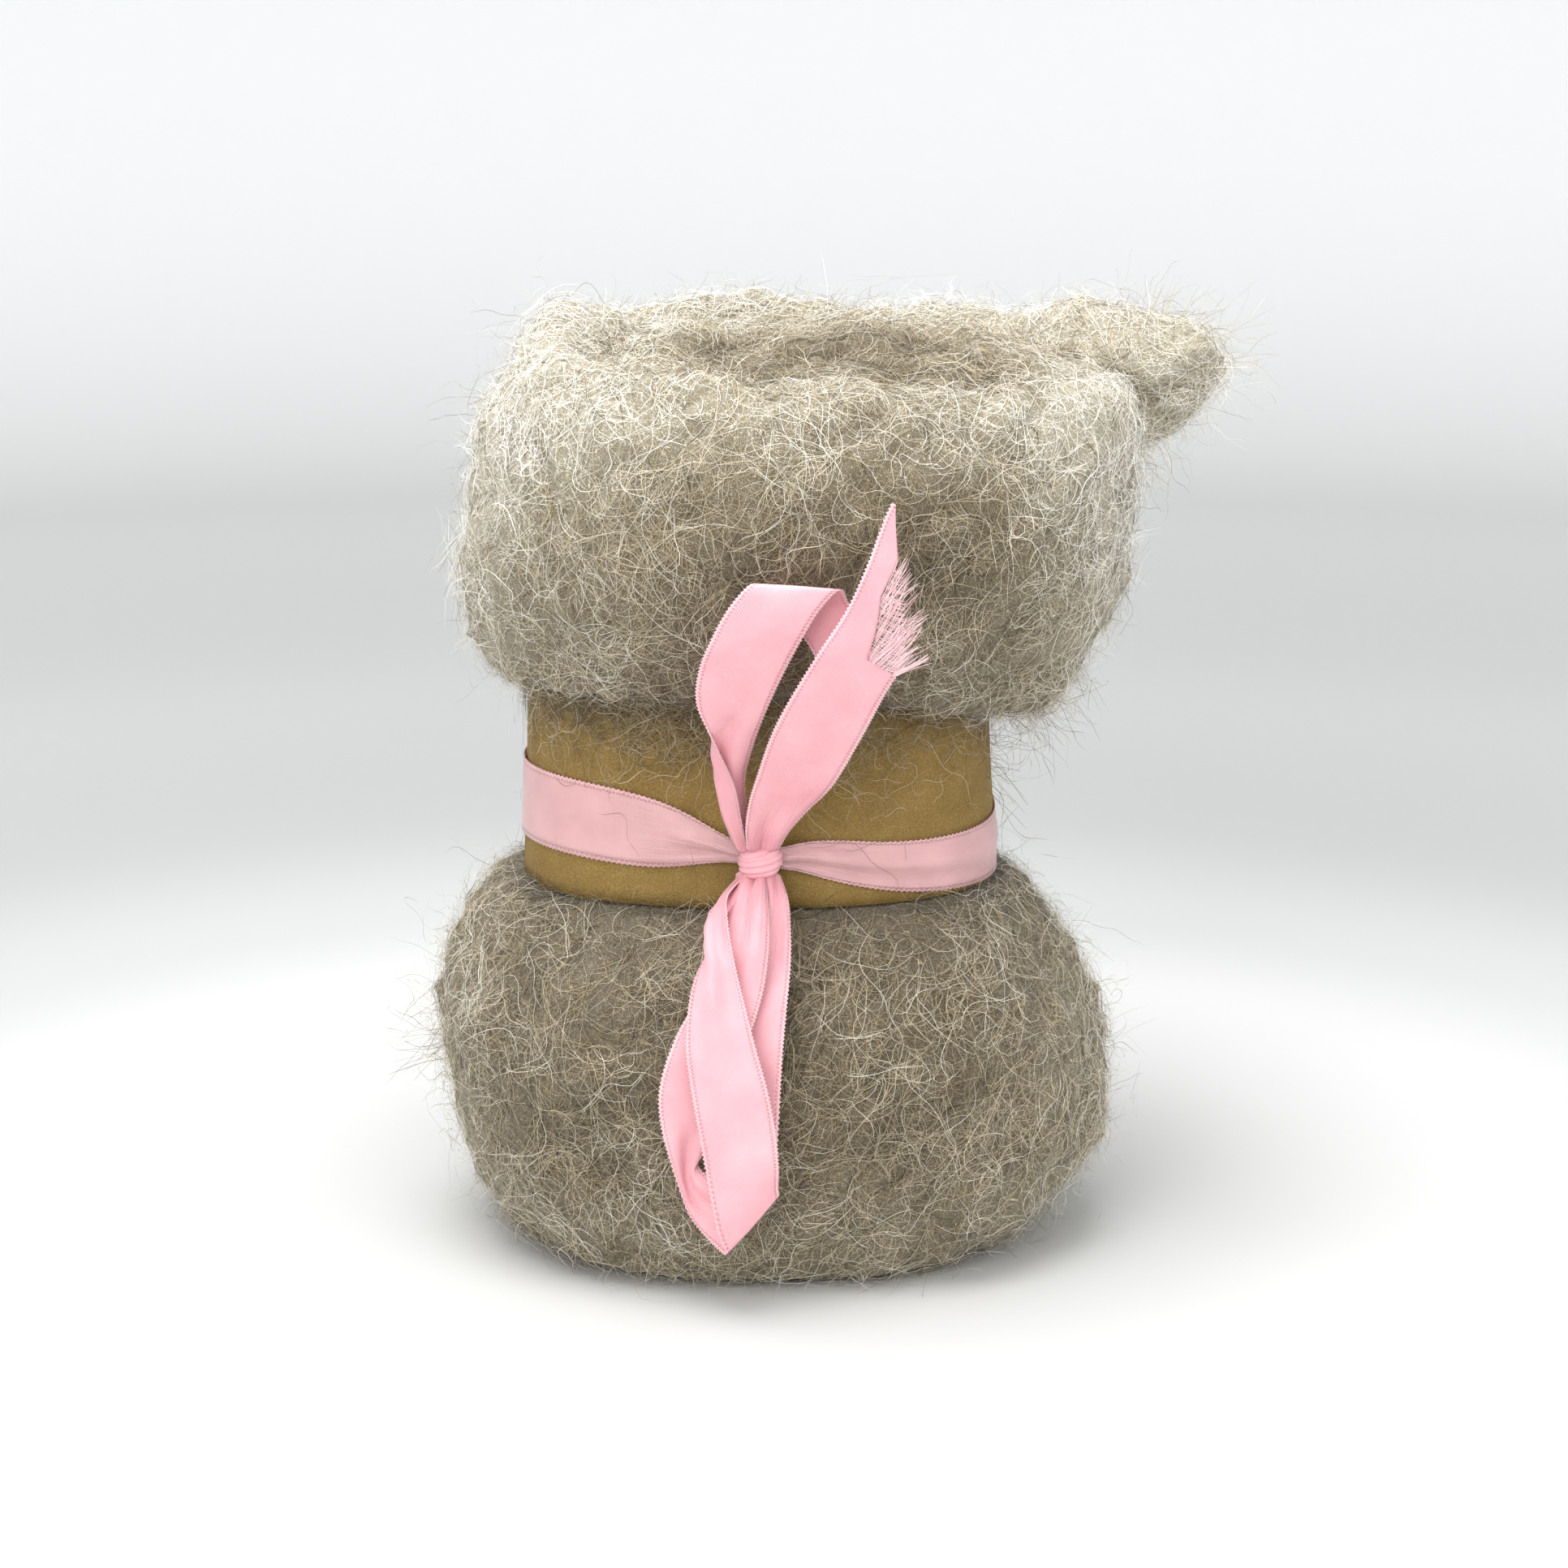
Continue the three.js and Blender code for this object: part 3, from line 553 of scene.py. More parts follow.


# The wool's body.

# how pale the wool is at a place, as painted light and shade: bright where the light falls on the lips, the
# shoulder, the flanks, a band just over the paper and the loose end, darker in the hollow on the upper
# bulge's front and low on the lower bulge
def paintedLightAndShade(points):
    x, y, z = (points / mm).T
    top = smoothStep(180, 226, z)
    shoulder = bell(np.hypot(x + 72, z - 196), 40)
    lap = bell(z - 158, 9)
    flank = smoothStep(52, 82, np.abs(x)) * (0.25 + 0.1 * smoothStep(140, 160, z))
    looseEnd = smoothStep(77, 91, x) * smoothStep(158, 178, z)
    hollow = bell(np.hypot(x - 16, z - 186), 42)
    low = smoothStep(112, 70, z) * smoothStep(0, 45, z)
    # painted shade behind the front lip, on the second winding
    behind = smoothStep(-50, -43, y) * smoothStep(13, 3, y) * smoothStep(214, 219, z)
    behind = behind * smoothStep(-34, -18, x) * smoothStep(80, 64, x)
    shade = 0.46 * top + 0.32 * shoulder + flank + 0.5 * looseEnd + 0.08 * lap
    # painted light from the floor's bounce, lighter on the foot
    shade += 0.1 * smoothStep(42, 14, z)
    return np.clip(0.36 + shade - 0.12 * low - 0.4 * behind - 0.14 * hollow, 0, 1)


# the points, each moved to the middle of its neighbours, round after round
def evened(mesh, points, rounds):
    ends = np.zeros(len(mesh.edges) * 2, np.int32)
    mesh.edges.foreach_get("vertices", ends)
    first, second = ends.reshape(-1, 2).T
    near = np.bincount(first, minlength=len(points)) + np.bincount(second, minlength=len(points))
    level = points.copy()
    for _ in range(rounds):
        total = np.zeros_like(level)
        np.add.at(total, first, level[second])
        np.add.at(total, second, level[first])
        level = total / near[:, None]
    return level


# how deep each point lies in a furrow, 0 to 1: how far the wool round it stands higher
def furrowsOf(mesh, points, normals, look):
    level = evened(mesh, points, look["furrowRounds"])
    return np.clip(((level - points) * normals).sum(axis=1) / look["furrowDeep"], 0, 1)


coreLook = {
    "furrowRounds": 18,
    "cornerRounds": 14,
    "furrowDeep": 1.2 * mm,
    "shrink": 0.9 * mm,             # room for the fibers over it
    "lumps": [(30 * mm, 0.7 * mm), (13 * mm, 0.7 * mm), (6 * mm, 0.5 * mm)],
    "clearOfPaper": 1.6 * mm,
    "nearPaper": 1.2 * mm,
    "band": (93.6 * mm, 146.4 * mm),
    "fill": 0.35,
}


def pointsOf(mesh):
    points = np.zeros(len(mesh.vertices) * 3)
    mesh.vertices.foreach_get("co", points)
    return points.reshape(-1, 3)


def normalsOf(mesh):
    normals = np.zeros(len(mesh.vertices) * 3, np.float32)
    mesh.vertices.foreach_get("normal", normals)
    return normals.reshape(-1, 3).astype(float)


# how far out of the paper's face each point lies
def beyondPaper(points):
    angle = np.arctan2(points[:, 1], points[:, 0])
    return np.hypot(points[:, 0], points[:, 1]) - waistRadius(angle, points[:, 2], 0)


# 0 beside and inside the paper, 1 well away from it
def freeOfPaper(points):
    z = points[:, 2] / mm
    inBand = smoothStep(86, 92, z) * (1 - smoothStep(148, 153, z))
    return 1 - inBand * (1 - smoothStep(3 * mm, 8 * mm, beyondPaper(points)))


def makeCore(look):
    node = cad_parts["wool_batt"]
    mesh = bpy.data.meshes.new("wool_body")
    welded = bmesh.new()
    welded.from_mesh(node.data)
    bmesh.ops.remove_doubles(welded, verts=welded.verts, dist=0.01 * mm)
    welded.to_mesh(mesh)
    welded.free()
    core = bpy.data.objects.new("wool_body", mesh)
    scene.collection.objects.link(core)
    finer = core.modifiers.new("finer", "SUBSURF")
    finer.levels = 1
    finer.render_levels = 1
    bpy.context.view_layer.update()
    smooth = bpy.data.meshes.new_from_object(core.evaluated_get(bpy.context.evaluated_depsgraph_get()))
    core.modifiers.clear()
    core.data = smooth
    points = pointsOf(smooth)
    normals = normalsOf(smooth)
    free = freeOfPaper(points) * smoothStep(0, 6 * mm, points[:, 2])
    lift = -look["shrink"] * np.ones(len(points))
    for seed, (size, height) in enumerate(look["lumps"]):
        lift += height * lumps(points, size, seed + 5)
    points += normals * (lift * free)[:, None]
    # the corner that hangs over the paper at the right is rounder than its solid
    x, y, z = (points / mm).T
    hangs = smoothStep(50, 62, x) * smoothStep(164, 150, z) * smoothStep(116, 122, z)
    points += (evened(smooth, points, look["cornerRounds"]) - points) * hangs[:, None]
    # inside the paper the wool keeps clear of it
    angle = np.arctan2(points[:, 1], points[:, 0])
    beyond = beyondPaper(points)
    low, high = look["band"]
    inBand = (points[:, 2] > low) & (points[:, 2] < high) & (beyond < look["nearPaper"])
    pull = np.where(inBand & (beyond > -look["clearOfPaper"]), -look["clearOfPaper"] - beyond, 0)
    points[:, 0] += pull * np.cos(angle)
    points[:, 1] += pull * np.sin(angle)
    points[:, 2] = np.maximum(points[:, 2], 0)
    smooth.vertices.foreach_set("co", np.ravel(points).astype(np.float32))
    smooth.update()
    smooth.shade_smooth()
    smooth.materials.clear()
    smooth.materials.append(mattedWool)
    furrows = furrowsOf(smooth, points, normalsOf(smooth), look)
    # the body's tone: its painted light and shade, 0.12 darker overall as painted shade between the fibers,
    # and darker still in the furrows as painted shade
    addValues(core, "tone", np.clip(paintedLightAndShade(points) - 0.12 - 0.5 * furrows, 0, 1))
    addValues(core, "furrow", furrows)
    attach(core, "root")
    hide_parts("wool_batt")
    return core


woolBody = makeCore(coreLook)
print("wool body made:", len(woolBody.data.polygons), "faces")


# The wool's fibers.

def surfaceOf(mesh):
    mesh.calc_loop_triangles()
    corners = np.zeros(len(mesh.loop_triangles) * 3, np.int32)
    mesh.loop_triangles.foreach_get("vertices", corners)
    points = pointsOf(mesh)
    triangles = points[corners.reshape(-1, 3)]
    tree = BVHTree.FromPolygons(points.tolist(), corners.reshape(-1, 3).tolist())
    return triangles, tree


woolTriangles, woolTree = surfaceOf(woolBody.data)


def furrowLookup(piece):
    points = pointsOf(piece.data)
    depths = np.zeros(len(points), np.float32)
    piece.data.attributes["furrow"].data.foreach_get("value", depths)
    tree = KDTree(len(points))
    for i, point in enumerate(points.tolist()):
        tree.insert(point, i)
    tree.balance()
    return tree, depths


furrowTree, furrowDepths = furrowLookup(woolBody)


def furrowAt(places):
    return furrowDepths[[furrowTree.find(place)[1] for place in places.tolist()]]


def placesOnWool(dice, count, weight):  # places spread evenly over the wool, times a weight
    edges = woolTriangles[:, 1:] - woolTriangles[:, :1]
    crossed = np.cross(edges[:, 0], edges[:, 1])
    middles = woolTriangles.mean(axis=1)
    share = np.linalg.norm(crossed, axis=1) * weight(middles, unit(crossed))
    picked = dice.choice(len(share), count, p=share / share.sum())
    a, b = dice.uniform(size=(2, count))
    flip = a + b > 1
    a[flip], b[flip] = 1 - a[flip], 1 - b[flip]
    spread = edges[picked, 0] * a[:, None] + edges[picked, 1] * b[:, None]
    return woolTriangles[picked, 0] + spread, unit(crossed[picked])


def nearestOnWool(points):
    found = [woolTree.find_nearest(point) for point in points.tolist()]
    places = np.array([hit[0] for hit in found])
    normals = np.array([hit[1] for hit in found])
    return places, normals


# where wool shows: not inside the paper, nor under the base
def shownWool(middles, normals):
    z = middles[:, 2] / mm
    inBand = (z > 93) & (z < 147.5) & (beyondPaper(middles) < 1.5 * mm)
    return np.where(inBand | (z < 0.8), 0.0, 1.0)


# The way that neighbouring fibers lie together: a slow swirl over the wool, along the winding
# on the top, and curling over at the loose end.
def flowOnWool(points):
    x, y, z = (points / mm).T
    slow = np.stack([lumps(points, 55 * mm, seed, 5) for seed in (31, 32, 33)], axis=1)
    winding = unit(np.stack([-y, x, 0 * x], axis=1)) * (1.8 * smoothStep(214, 226, z))[:, None]
    atEnd = 4 * smoothStep(82, 96, x) * smoothStep(176, 190, z)
    curl = unit(np.stack([z - 203, 0 * x, 97 - x], axis=1)) * atEnd[:, None]
    return slow + winding + curl


def turnAbout(vectors, axes, angles):
    c, s = np.cos(angles)[:, None], np.sin(angles)[:, None]
    return vectors * c + np.cross(axes, vectors) * s


# how much each fiber turns at each step: a steady bend and a crimp
def curlOf(dice, look, count, quickest):
    bend = dice.normal(0, look["bend"], count)
    crimp = dice.uniform(*look["crimp"], count)
    wave = dice.uniform(0.5, quickest, count)
    phase = dice.uniform(0, math.tau, count)
    return lambda step, size=1: bend * size + crimp * np.sin(wave * step + phase)


# Paths of fibers that lie on the wool. Each has its own height, curl and lift at its ends.
def lyingPaths(dice, starts, normals, look):
    count, steps = len(starts), look["steps"]
    flow = flowOnWool(starts)
    heading = flow - normals * (flow * normals).sum(axis=1, keepdims=True)
    heading = turnAbout(unit(heading), normals, dice.normal(0, look["stray"], count))
    size = dice.uniform(*look["step"], count)
    turnAt = curlOf(dice, look, count, 1.1)
    height = look["height"][0] + dice.exponential(look["height"][1], count)
    liftStart, liftEnd = dice.exponential(look["lift"], (2, count))
    points, ups = [], []
    place, up = starts.copy(), normals.copy()
    for step in range(steps + 1):
        share = step / steps
        lift = height + liftStart * (1 - share) ** 4 + liftEnd * share ** 4
        points.append(place + up * lift[:, None])
        ups.append(up)
        heading = turnAbout(heading, up, turnAt(step, size / mm))
        moved = place + heading * size[:, None]
        place, up = nearestOnWool(moved)
        heading = unit(heading - up * (heading * up).sum(axis=1, keepdims=True))
    points, ups = np.stack(points, axis=1), np.stack(ups, axis=1)
    middle = (points[:, :-2] + 2 * points[:, 1:-1] + points[:, 2:]) / 4
    points[:, 1:-1] = middle
    return points, ups


# Paths of fibers that stand off the wool: out, then curling over.
def standingPaths(dice, starts, normals, look):
    count, steps = len(starts), look["steps"]
    side = unit(np.cross(normals, dice.normal(size=(count, 3))))
    lean = dice.uniform(*look["lean"], count)[:, None]
    heading = unit(normals * (1 - lean) + side * lean)
    size = dice.uniform(*look["step"], count) * dice.uniform(0.5, 1, count)
    axis = unit(dice.normal(size=(count, 3)))
    turnAt = curlOf(dice, look, count, 1.2)
    place = starts - normals * 0.5 * mm
    points = []
    for step in range(steps + 1):
        points.append(place)
        heading = unit(turnAbout(heading, axis, turnAt(step)) + heading * 1e-3)
        heading = unit(heading + np.array([0, 0, -look["weight"]]))
        place = place + heading * size[:, None]
    return np.stack(points, axis=1)


# past the solids' box, in millimetres
fiberReach = {"lying": (6, 6, 6), "halo": (13, 12, 14), "wisps": (14, 12, 14), "floor": 0.15}


# every fiber stays over the floor and near the roll
def keepInReach(points, kind):
    reach = np.array(fiberReach[kind]) * mm
    low = np.array(cadBox[0]) - reach
    low[2] = fiberReach["floor"] * mm
    return np.clip(points, low, np.array(cadBox[1]) + reach)


# flat strips along the paths, lying with their faces outwards, each rolled a little
def stripMesh(dice, points, ups, width):
    count, rows = points.shape[:2]
    along = unit(np.gradient(points, axis=1))
    across = unit(np.cross(along, ups))
    roll = dice.uniform(-0.7, 0.7, count)[:, None, None]
    across = unit(across * np.cos(roll) + np.cross(along, across) * np.sin(roll))
    taper = np.minimum(1, 0.35 + 4 * np.minimum(np.linspace(0, 1, rows), np.linspace(1, 0, rows)))
    half = across * (width[:, None] * taper / 2)[:, :, None]
    corners = np.stack([points - half, points + half], axis=2).reshape(-1, 3)
    first = (np.arange(count)[:, None] * rows + np.arange(rows - 1)).reshape(-1) * 2
    quads = np.stack([first, first + 1, first + 3, first + 2], axis=1)
    return corners, quads


def facingAnyWay(dice, points):  # one direction for each fiber
    return unit(dice.normal(size=(len(points), 1, 3))) + 0 * points


# each fiber has its own small cell of the unwrapped square
def cellUvs(count, rows):
    grid = math.ceil(math.sqrt(count))
    cell = np.arange(count)
    along = np.linspace(0.12, 0.88, rows)
    across = np.array([0.2, 0.8])
    u = (cell % grid)[:, None, None] + across[None, None, :] + 0 * along[None, :, None]
    v = (cell // grid)[:, None, None] + along[None, :, None] + 0 * across[None, None, :]
    return np.stack([u, v], axis=-1).reshape(-1, 2) / grid


def addFibers(name, corners, quads, tone):
    piece = addMesh(name, corners, quads, woolFiber)
    rows = len(corners) // (2 * len(tone))
    addUvs(piece, cellUvs(len(tone), rows))
    addValues(piece, "tone", np.repeat(tone, rows * 2))
    print(name, "made:", len(tone), "fibers")


darkFibers = {"share": 0.1, "tone": (0, 0.12)}


# "share" is how closely the fibers follow the painted light and shade of the wool under them
def fiberTones(dice, places, look):
    # the painted light and shade of the wool under each fiber, random larger patches, and painted shade in
    # the furrows
    ground = paintedLightAndShade(places) + 0.1 * lumps(places, 26 * mm, 77) - 0.4 * furrowAt(places)
    tone = dice.normal(ground * look["share"] + look["lighter"], look["spread"])
    dark = dice.uniform(size=len(places)) < darkFibers["share"]
    tone[dark] = dice.uniform(*darkFibers["tone"], dark.sum())
    return np.clip(tone, 0, 1)


lyingLook = {
    "wool_fibers_under": {
        "count": 7900, "steps": 9, "step": (1.4 * mm, 2.6 * mm), "stray": 1.1, "bend": 0.12,
        "crimp": (0.1, 0.7), "height": (0.0, 0.35 * mm), "lift": 0.3 * mm,
        "width": (0.12 * mm, 0.25 * mm), "share": 1.0, "lighter": -0.1,
        "spread": 0.12, "seed": 101,
    },
    "wool_fibers_middle": {
        "count": 10900, "steps": 9, "step": (1.4 * mm, 2.7 * mm), "stray": 0.9, "bend": 0.12,
        "crimp": (0.05, 0.55), "height": (0.4 * mm, 0.4 * mm), "lift": 0.7 * mm,
        "width": (0.075 * mm, 0.15 * mm), "share": 0.9, "lighter": 0.11,
        "spread": 0.19, "seed": 102,
    },
    "wool_fibers_over": {
        "count": 10900, "steps": 9, "step": (1.3 * mm, 2.9 * mm), "stray": 0.9, "bend": 0.1,
        "crimp": (0.05, 0.6), "height": (0.8 * mm, 0.9 * mm), "lift": 1.7 * mm,
        "width": (0.05 * mm, 0.11 * mm), "share": 0.75, "lighter": 0.34,
        "spread": 0.22, "seed": 103,
    },
    "wool_fibers_loose": {
        "count": 2500, "steps": 14, "step": (1.0 * mm, 2.2 * mm), "stray": 0.9, "bend": 0.1,
        "crimp": (0.05, 0.45), "height": (1.4 * mm, 1.3 * mm), "lift": 2.0 * mm,
        "width": (0.045 * mm, 0.085 * mm), "share": 0.5, "lighter": 0.25,
        "spread": 0.22, "seed": 104,
    },
    "wool_fibers_dark": {
        "count": 260, "steps": 18, "step": (1.5 * mm, 2.5 * mm), "stray": 0.9, "bend": 0.05,
        "crimp": (0.0, 0.25), "height": (1.2 * mm, 0.9 * mm), "lift": 2.5 * mm,
        "width": (0.07 * mm, 0.11 * mm), "share": 0.0, "lighter": 0.1,
        "spread": 0.06, "seed": 105,
    },
}


def makeLyingFibers():
    for name, look in lyingLook.items():
        dice = np.random.default_rng(look["seed"])
        starts, normals = placesOnWool(dice, look["count"], shownWool)
        points, ups = lyingPaths(dice, starts, normals, look)
        points = keepInReach(points, "lying")
        width = dice.uniform(*look["width"], look["count"])
        corners, quads = stripMesh(dice, points, ups, width)
        tone = fiberTones(dice, points[:, 4], look)
        addFibers(name, corners, quads, tone)


makeLyingFibers()


haloLook = {
    "wool_fibers_halo": {
        "count": 8600, "steps": 7, "step": (0.7 * mm, 1.8 * mm), "lean": (0.3, 1.0), "bend": 0.3,
        "crimp": (0.2, 0.8), "weight": 0.03, "width": (0.055 * mm, 0.1 * mm), "share": 0.6, "lighter": 0.26,
        "spread": 0.2, "seed": 111,
    },
    "wool_fibers_flyaway": {
        "count": 800, "steps": 18, "step": (0.8 * mm, 1.8 * mm), "lean": (0.3, 1.0), "bend": 0.19,
        "crimp": (0.15, 0.5), "weight": 0.03, "width": (0.06 * mm, 0.1 * mm), "share": 0.3, "lighter": 0.12,
        "spread": 0.2, "seed": 112,
    },
}


# more stands off the wool at its lips, its loose end and the foot of each bulge
def fuzzyPlaces(middles, normals):
    x, y, z = (middles / mm).T
    top = smoothStep(200, 225, z)
    looseEnd = smoothStep(90, 110, x) * smoothStep(180, 205, z)
    sides = smoothStep(0.6, 0.1, np.abs(normals[:, 1]))
    return shownWool(middles, normals) * (0.5 + 0.9 * top + 3 * looseEnd + 1.6 * sides)


def makeHalo():
    for name, look in haloLook.items():
        dice = np.random.default_rng(look["seed"])
        starts, normals = placesOnWool(dice, look["count"], fuzzyPlaces)
        points = standingPaths(dice, starts, normals, look)
        points = keepInReach(points, "halo")
        width = dice.uniform(*look["width"], look["count"])
        corners, quads = stripMesh(dice, points, facingAnyWay(dice, points), width)
        tone = fiberTones(dice, points[:, 0], look)
        addFibers(name, corners, quads, tone)


makeHalo()


# Fibers of the upper bulge that lie over the paper's edge, more and lower at its right.
drapeLook = {
    "count": 4200,
    "steps": 8,
    "step": (0.8 * mm, 2.1 * mm),
    "from": 150 * mm,
    "frontShare": 0.5,
    "front": (255, 42),     # degrees, and their spread
    # middle of the place in degrees, how far round, how far down in millimetres
    "reaches": [(195, 50, 11), (250, 35, 13), (300, 32, 19), (0, 45, 19), (95, 60, 12)],
    "bend": 0.14,
    "crimp": (0.1, 0.8),
    "height": (0.35 * mm, 0.8 * mm),
    "lip": (143 * mm, 152 * mm),    # over the bulge they stand higher
    "lipRise": 2.2 * mm,
    "highest": 153 * mm,
    "width": (0.06 * mm, 0.12 * mm),
    "share": 0.7,
    "lighter": 0.24,
    "spread": 0.17,
    "seed": 121,
}


def makeDrapedFibers(look):
    dice = np.random.default_rng(look["seed"])
    count, rows = look["count"], look["steps"] + 1
    front = np.radians(dice.normal(*look["front"], count))
    angle = np.where(dice.uniform(size=count) < look["frontShare"], front, dice.uniform(0, math.tau, count))
    reach = sum(
        size * mm * bell(turnBetween(np.degrees(angle), middle), spread)
        for middle, spread, size in look["reaches"]
    )
    z = look["from"] - reach * np.abs(dice.normal(0, 0.5, count))
    height = look["height"][0] + dice.exponential(look["height"][1], count)
    size = dice.uniform(*look["step"], count)
    heading = dice.uniform(0, math.tau, count)
    turnAt = curlOf(dice, look, count, 1.1)
    points = []
    for step in range(rows):
        over = height + look["lipRise"] * smoothStep(*look["lip"], z)
        points.append(waistPoints(angle, z, over))
        heading = heading + turnAt(step, size / mm)
        radius = np.hypot(*points[-1][:, :2].T)
        angle = angle + size * np.cos(heading) / radius
        z = np.minimum(z + size * np.sin(heading), look["highest"])
    points = np.stack(points, axis=1)
    width = dice.uniform(*look["width"], count)
    corners, quads = stripMesh(dice, points, unit(points * [1, 1, 0]), width)
    tone = fiberTones(dice, points[:, 0], look)
    addFibers("wool_fibers_draped", corners, quads, tone)


makeDrapedFibers(drapeLook)


# Long single hairs, most of them dark, that cross the paper and the ribbon.
hairLook = {
    "count": 24,
    "steps": 15,
    "step": (1.2 * mm, 2.4 * mm),
    "from": (98 * mm, 146 * mm),
    "kept": (92 * mm, 150 * mm),
    "lift": (1.1 * mm, 1.6 * mm),   # the least, and how much they rise and fall
    "bend": 0.12,
    "wave": 0.35,
    "width": 0.09 * mm,
    "darkShare": 0.7,
    "tones": (0.05, 0.6),
    "seed": 125,
}


def makeHairs(look):
    dice = np.random.default_rng(look["seed"])
    count, rows = look["count"], look["steps"] + 1
    angle = dice.uniform(0, math.tau, count)
    z = dice.uniform(*look["from"], count)
    heading = dice.uniform(0, math.tau, count)
    size = dice.uniform(*look["step"], count)
    bend = dice.normal(0, look["bend"], count)
    points = []
    for step in range(rows):
        lift = look["lift"][0] + look["lift"][1] * np.abs(np.sin(0.21 * step + angle))
        points.append(waistPoints(angle, np.clip(z, *look["kept"]), lift))
        heading = heading + bend + look["wave"] * np.sin(0.7 * step + 5 * angle)
        radius = np.hypot(*points[-1][:, :2].T)
        angle = angle + size * np.cos(heading) / radius
        z = z + size * np.sin(heading)
    points = np.stack(points, axis=1)
    width = np.full(count, look["width"])
    corners, quads = stripMesh(dice, points, unit(points * [1, 1, 0]), width)
    tone = np.where(dice.uniform(size=count) < look["darkShare"], *look["tones"])
    addFibers("wool_hairs", corners, quads, tone)


makeHairs(hairLook)


# Wisps: loose locks that hang or stand out from one place.
wispRows = [
    # the root's middle, the way out, how many, how long and how wide the root is, in millimetres
    {"root": (-80, -8, 52), "way": (-1, 0, 0.1), "count": 90, "length": 17, "spread": 9},
    {"root": (63, -14, 128), "way": (0.8, -0.3, -0.6), "count": 90, "length": 18, "spread": 12},
    {"root": (70, -20, 142), "way": (0.5, -0.4, -0.9), "count": 110, "length": 16, "spread": 14},
    {"root": (113, 16, 222), "way": (1, 0, 0.25), "count": 130, "length": 17, "spread": 15},
    {"root": (100, 14, 232), "way": (0.5, 0, 1), "count": 110, "length": 14, "spread": 18},
    {"root": (100, 6, 205), "way": (0.8, -0.5, -0.4), "count": 110, "length": 14, "spread": 16},
    {"root": (88, -20, 60), "way": (1, -0.2, -0.2), "count": 50, "length": 14, "spread": 26},
    {"root": (2, 6, 232), "way": (0, 0, 1), "count": 30, "length": 14, "spread": 30},
]


wispLook = {
    "steps": 14,
    "longest": 1.6,         # times the length in the rows above
    "outwards": 0.3,
    "bend": 0.2,
    "crimp": (0.1, 0.5),
    "lean": (0, 0.7),
    "weight": 0.02,
    "width": (0.06 * mm, 0.12 * mm),
    "share": 0.5,
    "lighter": 0.1,
    "spread": 0.2,
    "seed": 131,
}


def makeWisps(look):
    dice = np.random.default_rng(look["seed"])
    paths, tones = [], []
    for row in wispRows:
        count = row["count"]
        starts = (np.array(row["root"]) + dice.normal(0, row["spread"] / 2, (count, 3))) * mm
        places, normals = nearestOnWool(starts)
        ways = unit(unit(np.array([row["way"]], float)) + normals * look["outwards"])
        size = row["length"] / look["steps"] * mm
        made = standingPaths(dice, places, ways, {**look, "step": (size, size * look["longest"])})
        paths.append(made)
        tones.append(fiberTones(dice, made[:, 0], look))
    points = keepInReach(np.concatenate(paths), "wisps")
    width = dice.uniform(*look["width"], len(points))
    corners, quads = stripMesh(dice, points, facingAnyWay(dice, points), width)
    addFibers("wool_wisps", corners, quads, np.concatenate(tones))


makeWisps(wispLook)


# The kraft paper band.

paperLook = {
    "thickness": 0.45 * mm,
    "lapAngle": 84,         # degrees, where the strip's inner end starts
    "overlap": 22,
    "ease": 26,             # the turn over which the outer end climbs onto the inner one
    "lapStep": 1.3 * mm,
    "buckle": 0.22 * mm,
    "roundness": 0.82,      # the way round, as a share of the box round the waist
    "around": 200,
    "up": 16,
}


def sheetMesh(front, back):  # closed from a grid of front points and one of back points
    rows, columns = front.shape[:2]
    points = np.concatenate([front.reshape(-1, 3), back.reshape(-1, 3)])
    index = np.arange(rows * columns).reshape(rows, columns)
    behind = index + rows * columns

    def faces(a):
        return np.stack([a[:-1, :-1], a[:-1, 1:], a[1:, 1:], a[1:, :-1]], axis=-1).reshape(-1, 4)

    rim = np.concatenate([index[0, :], index[1:, -1], index[-1, -2::-1], index[-2:0:-1, 0]])
    rimBehind = rim + rows * columns
    edge = np.stack([rim, rimBehind, np.roll(rimBehind, -1), np.roll(rim, -1)], axis=1)
    return points, np.concatenate([faces(index), faces(behind)[:, ::-1], edge])


def makePaper(look):
    turn = np.linspace(0, 360 + look["overlap"], look["around"])[:, None]
    angle = np.radians(look["lapAngle"] + turn)
    z = np.linspace(waist["bottom"], waist["bottom"] + waist["height"], look["up"])[None, :]
    climb = look["lapStep"] * smoothStep(360 - look["ease"], 360, turn)
    flat = waistPoints(angle + 0 * z, z + 0 * angle, 0).reshape(-1, 3)
    wavy = lumps(flat, 38 * mm, 41).reshape(look["around"], look["up"])
    step = climb - look["buckle"] + look["buckle"] * wavy * 0.5
    front = waistPoints(angle + 0 * z, z + 0 * angle, step)
    back = waistPoints(angle + 0 * z, z + 0 * angle, step - look["thickness"])
    points, quads = sheetMesh(front, back)
    piece = addMesh("kraft_band", points, quads, kraftPaper)
    once = 2 * (waist["width"] + waist["depth"]) * look["roundness"]
    length = once * (360 + look["overlap"]) / 360
    along = np.repeat(np.linspace(0, length / mm, look["around"])[:, None], look["up"], axis=1)
    up = np.repeat(np.linspace(0, waist["height"] / mm, look["up"])[None, :], look["around"], axis=0)
    place = np.stack([along, up, 0 * up], axis=-1).reshape(-1, 3)
    addValues(piece, "place", np.concatenate([place, place + [0, 90, 0]]))
    uv = np.stack([along / (length / mm), up / (length / mm)], axis=-1).reshape(-1, 2)
    addUvs(piece, np.concatenate([uv, uv + [0, 0.3]]))
    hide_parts("paper_band")


makePaper(paperLook)
print("paper band made")


# The ribbon: smooth strips through rows of a left edge, a crease and a right edge.

